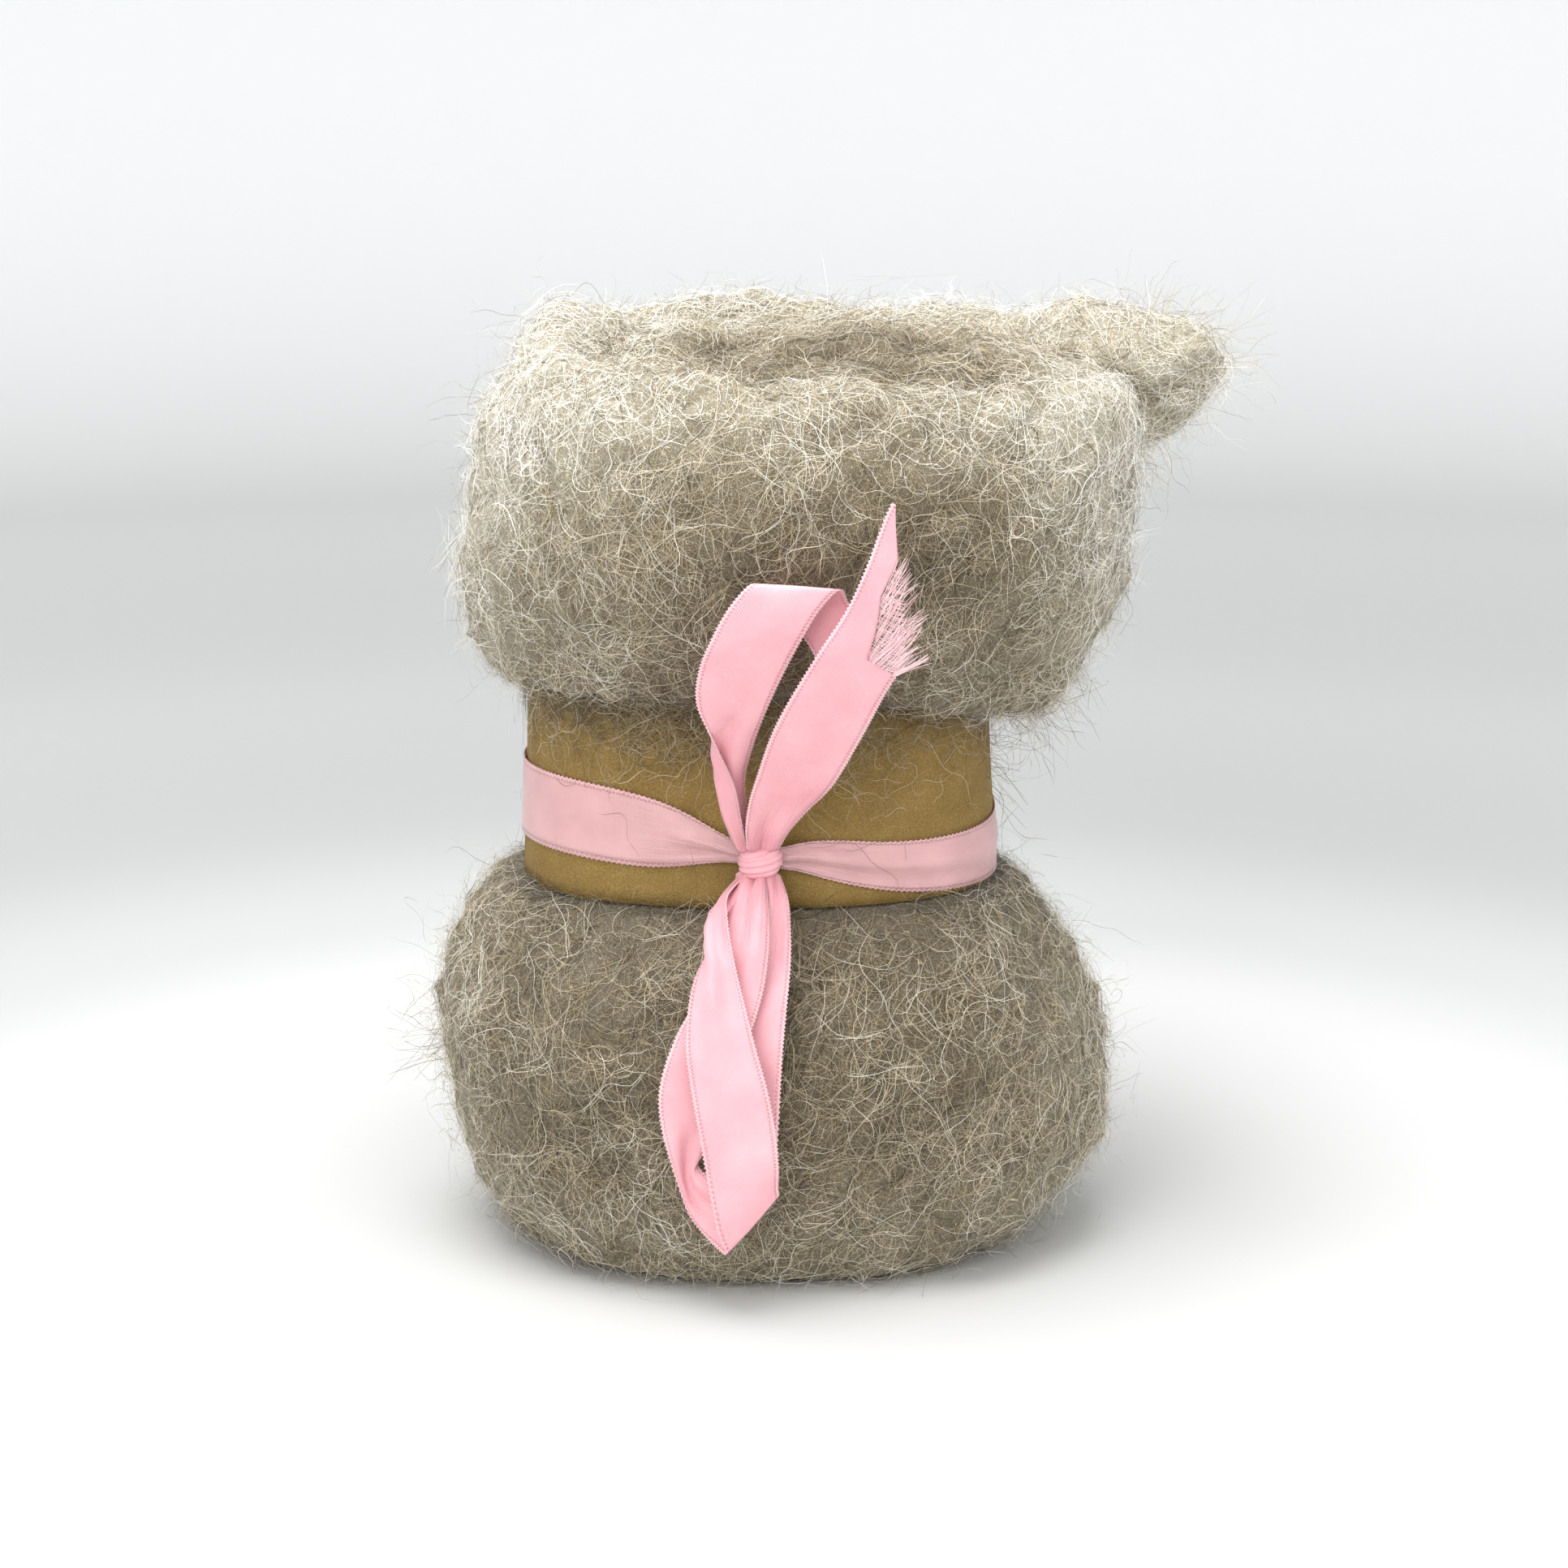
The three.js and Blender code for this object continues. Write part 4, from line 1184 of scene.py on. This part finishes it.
ribbonLook = {
    "width": 19 * mm,
    "thickness": 0.34 * mm,
    "spacing": 0.5 * mm,        # between rows of faces
    "columns": 11,
    "rounding": 0.16,           # how soft the crease is, as a share of the width
    "scallop": 0.24 * mm,       # the woven edge goes in and out by this
    "pleats": 1.5,
    "pleatShare": 0.6,          # how much of the ribbon's spare width the pleats take up
    "pleatDepth": 1.15 * mm,    # the deepest pleat
    "pleatShift": 0.6,
    "flatWidth": 17.5 * mm,     # no pleats where the ribbon is this wide
    "fullWidth": 11 * mm,       # and the deepest where it is this narrow
    "pleatStart": 4 * mm,       # the run from the knot to full pleats
    "gatherRun": 17 * mm,
}


ribbonMiddle = ribbonLook["width"] / mm / 2     # away from the woven edges, in millimetres


# the same smooth line that the solids follow: a centripetal curve through the points
def curveThrough(points, share):
    last = len(points) - 1
    place = np.clip(share * last, 0, last)
    at = np.minimum(place.astype(int), last - 1)
    t = (place - at)[:, None]
    padded = np.concatenate([2 * points[:1] - points[1:2], points, 2 * points[-1:] - points[-2:-1]])
    a, b, c, d = (padded[at + i] for i in range(4))

    def gap(p, q):
        return np.maximum(np.sum((q - p) ** 2, axis=1, keepdims=True) ** 0.25, 1e-6)

    ab, bc, cd = gap(a, b), gap(b, c), gap(c, d)
    slopeB = ((b - a) / ab - (c - a) / (ab + bc) + (c - b) / bc) * bc
    slopeC = ((c - b) / bc - (d - b) / (bc + cd) + (d - c) / cd) * bc
    return (b + slopeB * t + (3 * (c - b) - 2 * slopeB - slopeC) * t ** 2
            + (2 * (b - c) + slopeB + slopeC) * t ** 3)


# points across the ribbon: two straight sides with a soft crease between them
def acrossCrease(left, crease, right, columns, rounding):
    first = np.linalg.norm(crease - left, axis=1)
    second = np.linalg.norm(right - crease, axis=1)
    bend = (first / (first + second))[:, None]
    share = np.linspace(0, 1, columns)[None, :]
    reach = np.minimum(rounding, np.minimum(share, 1 - share))
    total = 0
    samples = 9
    for i in range(samples):
        t = (share + reach * (2 * (i + 0.5) / samples - 1))[:, :, None]
        b = bend[:, :, None]
        onFirst = left[:, None] + (crease - left)[:, None] * (t / b)
        onSecond = crease[:, None] + (right - crease)[:, None] * ((t - b) / (1 - b))
        total = total + np.where(t < b, onFirst, onSecond)
    return total / samples


def acrossAt(grid, share):  # the grid at other shares of its width
    last = grid.shape[1] - 1
    at = np.minimum((share * last).astype(int), last - 1)
    t = (share * last - at)[..., None]
    row = np.arange(len(grid))[:, None]
    return grid[row, at] * (1 - t) + grid[row, at + 1] * t


# A ribbon from a grid of points. knots are the ends (0 or 1) where it is gathered.
# keep is the share of the width that is left at each row, from the left edge.
def ribbonPiece(name, grid, material, knots, look, keep=1.0):
    rows, columns = grid.shape[:2]
    middle = grid[:, columns // 2]
    steps = np.linalg.norm(np.diff(middle, axis=0), axis=1)
    along = np.concatenate([[0], np.cumsum(steps)])
    fromKnot = np.full(rows, 1.0)
    if 0 in knots:
        fromKnot = np.minimum(fromKnot, along)
    if 1 in knots:
        fromKnot = np.minimum(fromKnot, along[-1] - along)
    gathered = np.exp(-fromKnot / look["gatherRun"])
    share = np.linspace(0, 1, columns)
    flowA, flowU = np.gradient(grid, axis=0), np.gradient(grid, axis=1)
    normal = unit(np.cross(flowU, flowA))
    waves = np.sin(share * look["pleats"] * math.tau + look["pleatShift"])
    shape = waves * np.sin(share * math.pi) ** 0.5
    wide = np.linalg.norm(np.diff(grid, axis=1), axis=2).sum(axis=1)
    spare = np.sqrt(np.maximum((look["width"] / wide) ** 2 - 1, 0) * 2)
    depth = np.minimum(look["pleatShare"] * wide / (math.tau * look["pleats"]) * spare, look["pleatDepth"])
    depth = depth * smoothStep(look["flatWidth"], look["fullWidth"], wide)
    depth = depth * smoothStep(0, look["pleatStart"], fromKnot)
    rise = depth[:, None] * shape[None, :]
    grid = grid + normal * rise[:, :, None]
    side = unit(flowU)
    picot = look["scallop"] * (-1.0) ** np.arange(rows) * (1 - gathered)
    grid[:, 0] -= side[:, 0] * picot[:, None]
    grid[:, -1] += side[:, -1] * picot[:, None]
    kept = np.repeat(share[None, :], rows, axis=0) * np.reshape(keep, (-1, 1))
    grid, normal = acrossAt(grid, kept), unit(acrossAt(normal, kept))
    half = normal * look["thickness"] / 2
    points, quads = sheetMesh(grid + half, grid - half)
    piece = addMesh(name, points, quads, material)
    across = kept * look["width"] / mm
    length = np.repeat(along[:, None] / mm, columns, axis=1)
    place = np.stack([across, length, np.repeat(gathered[:, None], columns, axis=1)], axis=-1)
    place = place.reshape(-1, 3)
    addValues(piece, "place", np.concatenate([place, place]))
    scale = max(length[-1, 0], 50)
    uv = np.stack([length / scale, across / scale], axis=-1).reshape(-1, 2)
    addUvs(piece, np.concatenate([uv, uv + [0, 0.5]]))
    return piece, along[-1]


def bowGrid(rows, look):
    table = np.array(rows, float) * mm
    lines = [table[:, i * 3:i * 3 + 3] for i in range(3)]
    dense = np.linspace(0, 1, 60 * (len(rows) - 1) + 1)
    middle = curveThrough(lines[1], dense)
    run = np.concatenate([[0], np.cumsum(np.linalg.norm(np.diff(middle, axis=0), axis=1))])
    count = max(int(run[-1] / look["spacing"]), 8)
    share = np.interp(np.linspace(0, run[-1], count), run, dense)
    left, crease, right = (curveThrough(line, share) for line in lines)
    return acrossCrease(left, crease, right, look["columns"], look["rounding"])


knotMiddle = np.array([0.7, -53, 107.9]) * mm


# the ribbon's end runs on into the knot
def tuckedIn(grid, atStart, atEnd):
    share = np.linspace(0.55, 0.08, 7)[:, None, None]
    if atStart:
        grid = np.concatenate([grid[0] + (knotMiddle - grid[0]) * share, grid])
    if atEnd:
        grid = np.concatenate([grid, (grid[-1] + (knotMiddle - grid[-1]) * share)[::-1]])
    return grid


# millimetres: left edge, crease, right edge
bowRows = {
    "upperLoop": [
        (-2.6, -55.5, 111.7, -4.6, -54, 111.7, -3.4, -52.4, 111.7),
        (-3.8, -60.5, 120, -8, -58.5, 119.5, -2.6, -57, 120.5),
        (-5.5, -66.5, 130, -9.8, -64, 129.5, -2.8, -62.5, 131),
        (-9.6, -72, 140.5, -12, -70, 141, -0.6, -69.5, 141),
        (-14, -76, 151.5, -9.5, -76.1, 150.5, 3, -75.4, 151.5),
        (-13.4, -79, 160, -5, -79, 158.5, 6.5, -78, 159.5),
        (-10.4, -81.5, 168, -1, -82, 167, 10.4, -80.5, 167.5),
        (-6, -82.5, 176, 4.4, -83, 175, 15.2, -81.5, 175.5),
        (-1, -81.5, 181, 9.4, -82, 180.5, 19.6, -80.5, 179.5),
        (2.5, -77.5, 178.5, 12.4, -78, 178, 21.4, -77, 176),
        (9, -75, 170, 17.5, -76, 170, 25.5, -76, 167.5),
        (14, -74.5, 161.5, 20.4, -76, 160, 28, -76, 158),
        (12, -73.5, 152, 18.6, -74.5, 151, 25.5, -74, 149),
        (6.5, -68.5, 140, 11, -69.5, 138.5, 17, -69, 136),
        (3, -60.5, 127, 6, -61, 126, 10.4, -60.5, 124),
        (0, -53, 115, 2.2, -53.2, 114.5, 4.6, -52.6, 114.5),
        (0, -51.2, 111.7, 1.4, -51.6, 111.7, 3, -51.2, 111.7),
    ],
    "upperTail": [
        (-2.6, -56, 111.7, 1.6, -55.2, 111.7, 5.4, -55.4, 111.7),
        (-2.8, -60, 118, 1.8, -59, 117, 8, -59, 117),
        (-1.9, -64, 125, 4.2, -62.8, 123, 12.4, -63, 123),
        (0.2, -69, 133, 8, -68.2, 130.5, 17.9, -68.5, 130),
        (4.6, -76, 146.5, 13.6, -75.6, 143.5, 24.3, -75.2, 142.5),
        (14.2, -82.5, 164.5, 22.4, -82, 161, 31.4, -80.5, 157),
        (21, -84, 175.4, 29.5, -83.8, 171.5, 38.2, -82, 167.4),
        (25.5, -84.5, 185.5, 34, -84.2, 181.6, 42.7, -83, 177.5),
        (29.9, -84.6, 197.4, 38.4, -84.4, 193.5, 47, -83.6, 189.5),
        (31.3, -84.6, 200.4, 39.9, -84.4, 196.5, 48.4, -83.8, 192.5),
    ],
    "lowerLoop": [
        (-2.6, -52.4, 104.1, -4.8, -53.6, 104.1, -3.6, -55.2, 104.1),
        (-4.2, -60, 100.5, -9.6, -63, 101, -7.2, -66, 102),
        (-8.8, -67.2, 95.3, -12, -70, 96.5, -6.9, -73, 97),
        (-12.7, -74.8, 89, -13.4, -76.6, 89.5, -5.3, -78, 89),
        (-14.8, -77.2, 84.8, -13.2, -78.8, 85.3, -4.3, -79.6, 85),
        (-16, -78.8, 80.3, -11.8, -80.6, 80.8, -3.2, -80.9, 80.8),
        (-16.9, -82, 69.5, -9.2, -83.5, 69.5, -0.3, -83, 69.5),
        (-15.6, -84, 59, -6.3, -85.3, 59, 2.6, -84.7, 59),
        (-13.7, -85, 48, -4, -86, 48, 4.6, -85.5, 48),
        (-12, -85.6, 38, -2.8, -86.4, 39, 5.2, -86, 40),
        (-9.4, -85.2, 23.5, -2.8, -86, 28.5, 5, -85.6, 35.5),
        (-7.6, -83.6, 17.5, -1.4, -84.2, 24.5, 5, -84.2, 32.5),
        (-9.6, -82, 18.5, -4.6, -82.2, 25, 1.2, -82.6, 33),
        (-13.6, -81, 22.5, -11, -81.2, 28.5, -8, -81.4, 35),
        (-16.6, -81, 27, -15.2, -80.4, 31.8, -13.4, -80, 37.6),
        (-18.8, -81, 33.4, -16.9, -80, 36, -14.2, -79.2, 39.4),
        (-20.7, -81, 39.6, -16.8, -80.2, 41, -11.8, -79.6, 42.8),
        (-22.9, -81, 48.5, -15.6, -80.4, 49.5, -7.4, -80.4, 51),
        (-23.4, -81, 58, -15, -80.4, 58.5, -5.4, -80, 59.5),
        (-19.8, -79.4, 70, -11.2, -79.5, 69.8, -2, -79, 70),
        (-13.7, -75.6, 80.5, -6.3, -76.4, 81, 1.4, -75.4, 81),
        (-9.8, -71, 88.5, -4, -73.2, 89.5, 2.7, -72, 89.5),
        (-7.4, -64.4, 96.5, -2.6, -66.6, 97.5, 2.9, -65.4, 97),
        (-5, -57, 102.4, -1.6, -59, 102.8, 2.4, -57.4, 102.4),
        (-3.4, -53.4, 104.1, -0.6, -55, 104.1, 2.2, -53.8, 104.1),
    ],
    "lowerTail": [
        (0.6, -52, 104.1, 3.4, -53.8, 104.1, 5.6, -52.8, 104.1),
        (-0.4, -56.4, 99, 4, -59, 99.5, 7.5, -58, 99.5),
        (-3, -62, 92.5, 2.6, -64.2, 93, 8.1, -63.4, 93.5),
        (-6.6, -67.6, 85, 0.8, -68.6, 85.5, 8.1, -68.2, 86),
        (-10.8, -73.8, 75.5, -1.5, -74, 76, 7.1, -73.6, 76),
        (-12.6, -76.4, 64, -3, -76.8, 64.5, 6.1, -76.4, 65),
        (-13.4, -77, 54, -3.8, -77.4, 54, 5.5, -77, 54),
        (-13.8, -77, 48.5, -4.5, -77.4, 46, 4.9, -77, 43),
    ],
}


# The upper free end is cut on a slant. Beside the cut the cross threads have come out, and only
# the long threads are left. Run from the tip in millimetres, share of the ribbon's width.
frayLook = {
    "cut": [(0, 0.05), (3.3, 0.13), (16.5, 0.52), (27.6, 0.81), (34.5, 1.0)],
    "whole": [(0, 0.05), (3.3, 0.13), (11.5, 0.33), (21, 0.3), (36.6, 0.57), (37.1, 1.0)],
    "threads": 120,
    "corner": 26,           # more threads in one bunch from the corner
    "cross": 62,            # the cross threads that are left, thinly spread
    "rows": 12,
    "shares": (0.31, 0.99),         # of the width, where the threads leave the ribbon
    "cornerShares": (0.94, 1.0),
    "edge": (0.57, 37.3),           # past this share they start at this run
    "lean": (9, 6),                 # degrees, and their spread
    "cornerLean": (29, 3),
    "over": (0.3, 2.4, 7.5),        # past the cut: at the left, more at the right, at most
    "cornerOver": (6, 9.5),
    "curl": 0.008,
    "scatter": 0.2 * mm,            # from front to back
    "droop": 0.004 * mm,
    "crossRun": (13, 36.6),
    "crossStray": 0.25,
    "crossSag": 0.8,
    "width": (0.08 * mm, 0.17 * mm),
    "seed": 151,
}


def runFromTip(grid):
    steps = np.linalg.norm(np.diff(grid[:, grid.shape[1] // 2], axis=0), axis=1)
    return np.concatenate([np.cumsum(steps[::-1])[::-1], [0]])


def leftByCut(grid):
    run, share = np.array(frayLook["whole"]).T
    return np.interp(runFromTip(grid) / mm, run, share)


def makeFray(grid, look):
    dice = np.random.default_rng(look["seed"])
    runs = runFromTip(grid)[::-1] / mm
    cutRun, cutShare = np.array(look["cut"]).T
    wholeRun, wholeShare = np.array(look["whole"]).T

    def place(run, share):  # past the ribbon's edges too
        left = np.stack([np.interp(run, runs, grid[::-1, 0, i]) for i in range(3)], axis=-1)
        right = np.stack([np.interp(run, runs, grid[::-1, -1, i]) for i in range(3)], axis=-1)
        return left + (right - left) * share[..., None]

    count = look["threads"] + look["corner"]
    atCorner = np.arange(count) >= look["threads"]

    def either(draw, bunch, others):
        return np.where(atCorner, draw(*bunch, count), draw(*others, count))

    share = either(dice.uniform, look["cornerShares"], look["shares"])
    edge, edgeRun = look["edge"]
    start = np.where(share > edge, edgeRun, np.interp(share, wholeShare[3:5], wholeRun[3:5]) + 0.4)
    lean = np.radians(either(dice.normal, look["cornerLean"], look["lean"]))
    least, more, most = look["over"]
    cornerOver = dice.uniform(*look["cornerOver"], count)
    over = np.minimum(dice.exponential(least + more * share ** 3), most)
    cut = np.interp(share, cutShare, cutRun)
    length = np.where(atCorner, cornerOver, (start - cut) * 0.9 + over)
    along = np.linspace(0, 1, look["rows"])[None, :] * length[:, None]
    turned = lean[:, None] + dice.normal(0, look["curl"], count)[:, None] * along
    run = start[:, None] - along * np.cos(turned)
    side = share[:, None] + along * np.sin(turned) / (2 * ribbonMiddle)
    threads = place(run, side)
    scatter = look["scatter"] * dice.normal(0, 1, count)[:, None]
    threads[..., 1] -= scatter + look["droop"] * along ** 2
    stray = dice.normal(0, look["crossStray"], look["cross"])
    crossRun = np.linspace(*look["crossRun"], look["cross"]) + stray
    inner = np.interp(crossRun, wholeRun, wholeShare) - 0.02
    outer = np.interp(crossRun, cutRun, cutShare)
    across = inner[:, None] + (outer - inner)[:, None] * np.linspace(0, 1, look["rows"])
    bow = look["crossSag"] * np.sin(np.linspace(0, math.pi, look["rows"]))[None, :]
    sag = bow * dice.uniform(size=(look["cross"], 1))
    threads = np.concatenate([threads, place(crossRun[:, None] + sag, across)])
    width = dice.uniform(*look["width"], len(threads))
    facing = np.array([0.0, -1.0, 0.0]) + 0 * threads
    corners, quads = stripMesh(dice, threads, facing, width)
    piece = addMesh("ribbon_frayed_threads", corners, quads, satinThread)
    addUvs(piece, cellUvs(len(threads), look["rows"]))
    addValues(piece, "place", np.array([ribbonMiddle, 0, 0]) + 0 * corners)


def makeBow(look):
    parts = [
        ("ribbon_upper_loop", "upperLoop", "ribbon_loop_upper", (0, 1)),
        ("ribbon_upper_tail", "upperTail", "ribbon_tail_upper", (0,)),
        ("ribbon_lower_loop", "lowerLoop", "ribbon_loop_lower", (0, 1)),
        ("ribbon_lower_tail", "lowerTail", "ribbon_tail_lower", (0,)),
    ]
    for name, table, node, knots in parts:
        grid = tuckedIn(bowGrid(bowRows[table], look), 0 in knots, 1 in knots)
        keep, area = np.ones(len(grid)), None
        if table == "upperTail":
            keep = leftByCut(grid)
            area = look["width"] * runFromTip(grid)[0] * keep.mean()
            makeFray(grid, frayLook)
        piece, length = ribbonPiece(name, grid, satin, knots, look, keep)
        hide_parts(node)
        print(name, "made, length in mm:", round(length / mm, 1))


makeBow(ribbonLook)


# the turn round the paper, from the left of the knot, past the back, to its right
wrapRows = [
    # turn in degrees, height, width, lift off the paper, crease: millimetres
    (2.5, 108.6, 4, 3, 0.9), (7, 109.5, 4.6, 2.2, 0.9), (10, 110.1, 6.4, 1.3, 0.9),
    (14, 110.9, 9.2, 0.7, 0.7), (20, 111.7, 13, 0.2, 0.5), (26.5, 112.6, 16.6, 0, 0.3),
    (33, 113.3, 18, 0, 0.2), (42, 114.2, 18.8, 0, 0.1), (52, 114.8, 19, 0, 0),
    (70, 115.2, 19, 0, 0), (90, 114.7, 19, 0, 0), (120, 112.6, 19, 0, 0),
    (150, 110.3, 19, 0, 0), (180, 108, 19, 0, 0), (210, 106, 18.2, 0, 0),
    (240, 104.3, 17, 0, 0.2), (270, 103.1, 15.6, 0, 0.3), (290, 102.6, 14.6, 0, 0.4),
    (308, 102.8, 13.6, 0, 0.4), (322, 103.8, 12.4, 0, 0.5), (336, 106, 10.8, 0, 0.6),
    (344, 107.4, 9, 0.4, 0.8), (349, 108, 6.6, 1.2, 0.9), (351.5, 108, 4.8, 2.2, 0.9),
    (356, 108, 4.2, 3, 0.9),
]

wrapLook = {
    "steps": 500,
    "columns": 9,
    "smoothing": 41,        # steps
    "offPaper": 0.45 * mm,
    "overLap": 1.3 * mm,    # it climbs over the paper's lap
    "climb": (50, 76),      # degrees
    "descent": (106, 132),
}


def makeWrap(look):
    table = np.array(wrapRows, float)
    turn = np.linspace(table[0, 0], table[-1, 0], look["steps"])
    z, width, lift, fold = (np.interp(turn, table[:, 0], table[:, i]) * mm for i in (1, 2, 3, 4))
    smooth = np.hanning(look["smoothing"])
    smooth /= smooth.sum()

    def softened(values):
        return np.convolve(np.pad(values, len(smooth) // 2, mode="edge"), smooth, mode="valid")

    z, width = softened(z), softened(width)
    angle = np.radians(-90 - turn)
    place = np.degrees(angle) % 360
    up = smoothStep(*look["climb"], place)
    down = 1 - smoothStep(*look["descent"], place)
    step = look["offPaper"] + lift + look["overLap"] * up * down
    share = np.linspace(0, 1, look["columns"])[None, :]
    heights = z[:, None] + width[:, None] * (0.5 - share)
    steps = step[:, None] + fold[:, None] * np.sin(share * math.pi)
    grid = waistPoints(angle[:, None] + 0 * share, heights, steps)
    piece, length = ribbonPiece("ribbon_waist_turn", grid, satinBack, (0, 1), ribbonLook)
    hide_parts("ribbon_wrap")
    print("waist turn made, length in mm:", round(length / mm, 1))


makeWrap(wrapLook)


knotLook = {
    "half": (5.5, 3.9, 3.9),        # millimetres, round knotMiddle
    "square": 2.6,
    "around": 72,
    "up": 56,
    "creases": [(-0.58, 0.4), (-0.12, 0.55), (0.34, 0.45), (0.7, 0.3)],     # height, depth in mm
    "creaseWidth": 0.085,
    "slant": 0.16,
    "tilt": 0.55,       # its right side is higher
    "droop": 0.5,       # its middle is lower
    "wrapped": 0.8,     # its sides turn back round the roll
    "fill": 0.9,
}


def makeKnot(look):
    rise = (np.arange(1, look["up"]) / look["up"] - 0.5) * math.pi
    angle = np.arange(look["around"]) / look["around"] * math.tau
    rise, angle = np.meshgrid(rise, angle, indexing="ij")
    x, y, z = np.cos(rise) * np.cos(angle), np.cos(rise) * np.sin(angle), np.sin(rise)
    power = look["square"]
    size = (np.abs(x) ** power + np.abs(y) ** power + np.abs(z) ** power) ** (-1 / power)
    shape = np.stack([x, y, z], axis=-1) * size[..., None]
    sunk = 0
    for level, depth in look["creases"]:
        offLine = shape[..., 2] - level - look["slant"] * shape[..., 0] * (1 + level)
        sunk = sunk + depth * bell(offLine, look["creaseWidth"])
    half = np.array(look["half"])
    points = shape * (half - sunk[..., None])
    points[..., 2] += look["tilt"] * shape[..., 0] - look["droop"] * (1 - shape[..., 0] ** 2)
    points[..., 1] += look["wrapped"] * shape[..., 0] ** 2
    points = points * mm + knotMiddle
    rows, columns = points.shape[:2]
    index = np.arange(rows * columns).reshape(rows, columns)
    nextOver = np.roll(index, -1, axis=1)
    quads = np.stack([index[:-1], nextOver[:-1], nextOver[1:], index[1:]], axis=-1).reshape(-1, 4)
    flat = points.reshape(-1, 3)
    ends = np.stack([points[0].mean(axis=0), points[-1].mean(axis=0)])
    flat = np.concatenate([flat, ends])
    low, high = len(flat) - 2, len(flat) - 1
    pairs = np.arange(0, columns, 2)
    after, over = (pairs + 1) % columns, (pairs + 2) % columns
    bottom = np.stack([pairs * 0 + low, index[0, over], index[0, after], index[0, pairs]], axis=1)
    top = np.stack([pairs * 0 + high, index[-1, pairs], index[-1, after], index[-1, over]], axis=1)
    piece = addMesh("ribbon_bow_knot", flat, np.concatenate([quads, bottom, top]), satin)
    up = 6 + 5 * flat[:, 2:3] / mm / 8
    addValues(piece, "place", np.concatenate([0 * up + ribbonMiddle, up * 3, 0 * up + 0.5], axis=1))
    u = np.concatenate([np.tile(np.arange(columns) / columns, rows), [0.5, 0.5]])
    v = np.concatenate([np.repeat((np.arange(rows) + 1) / (rows + 1), columns), [0, 1]])
    addUvs(piece, np.stack([u, v], axis=1))
    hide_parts("ribbon_knot")


makeKnot(knotLook)
print("knot made")


shown = [piece for piece in scene.objects if piece.type == "MESH"]
print("triangles in all:", sum(len(face.vertices) - 2 for piece in shown for face in piece.data.polygons))
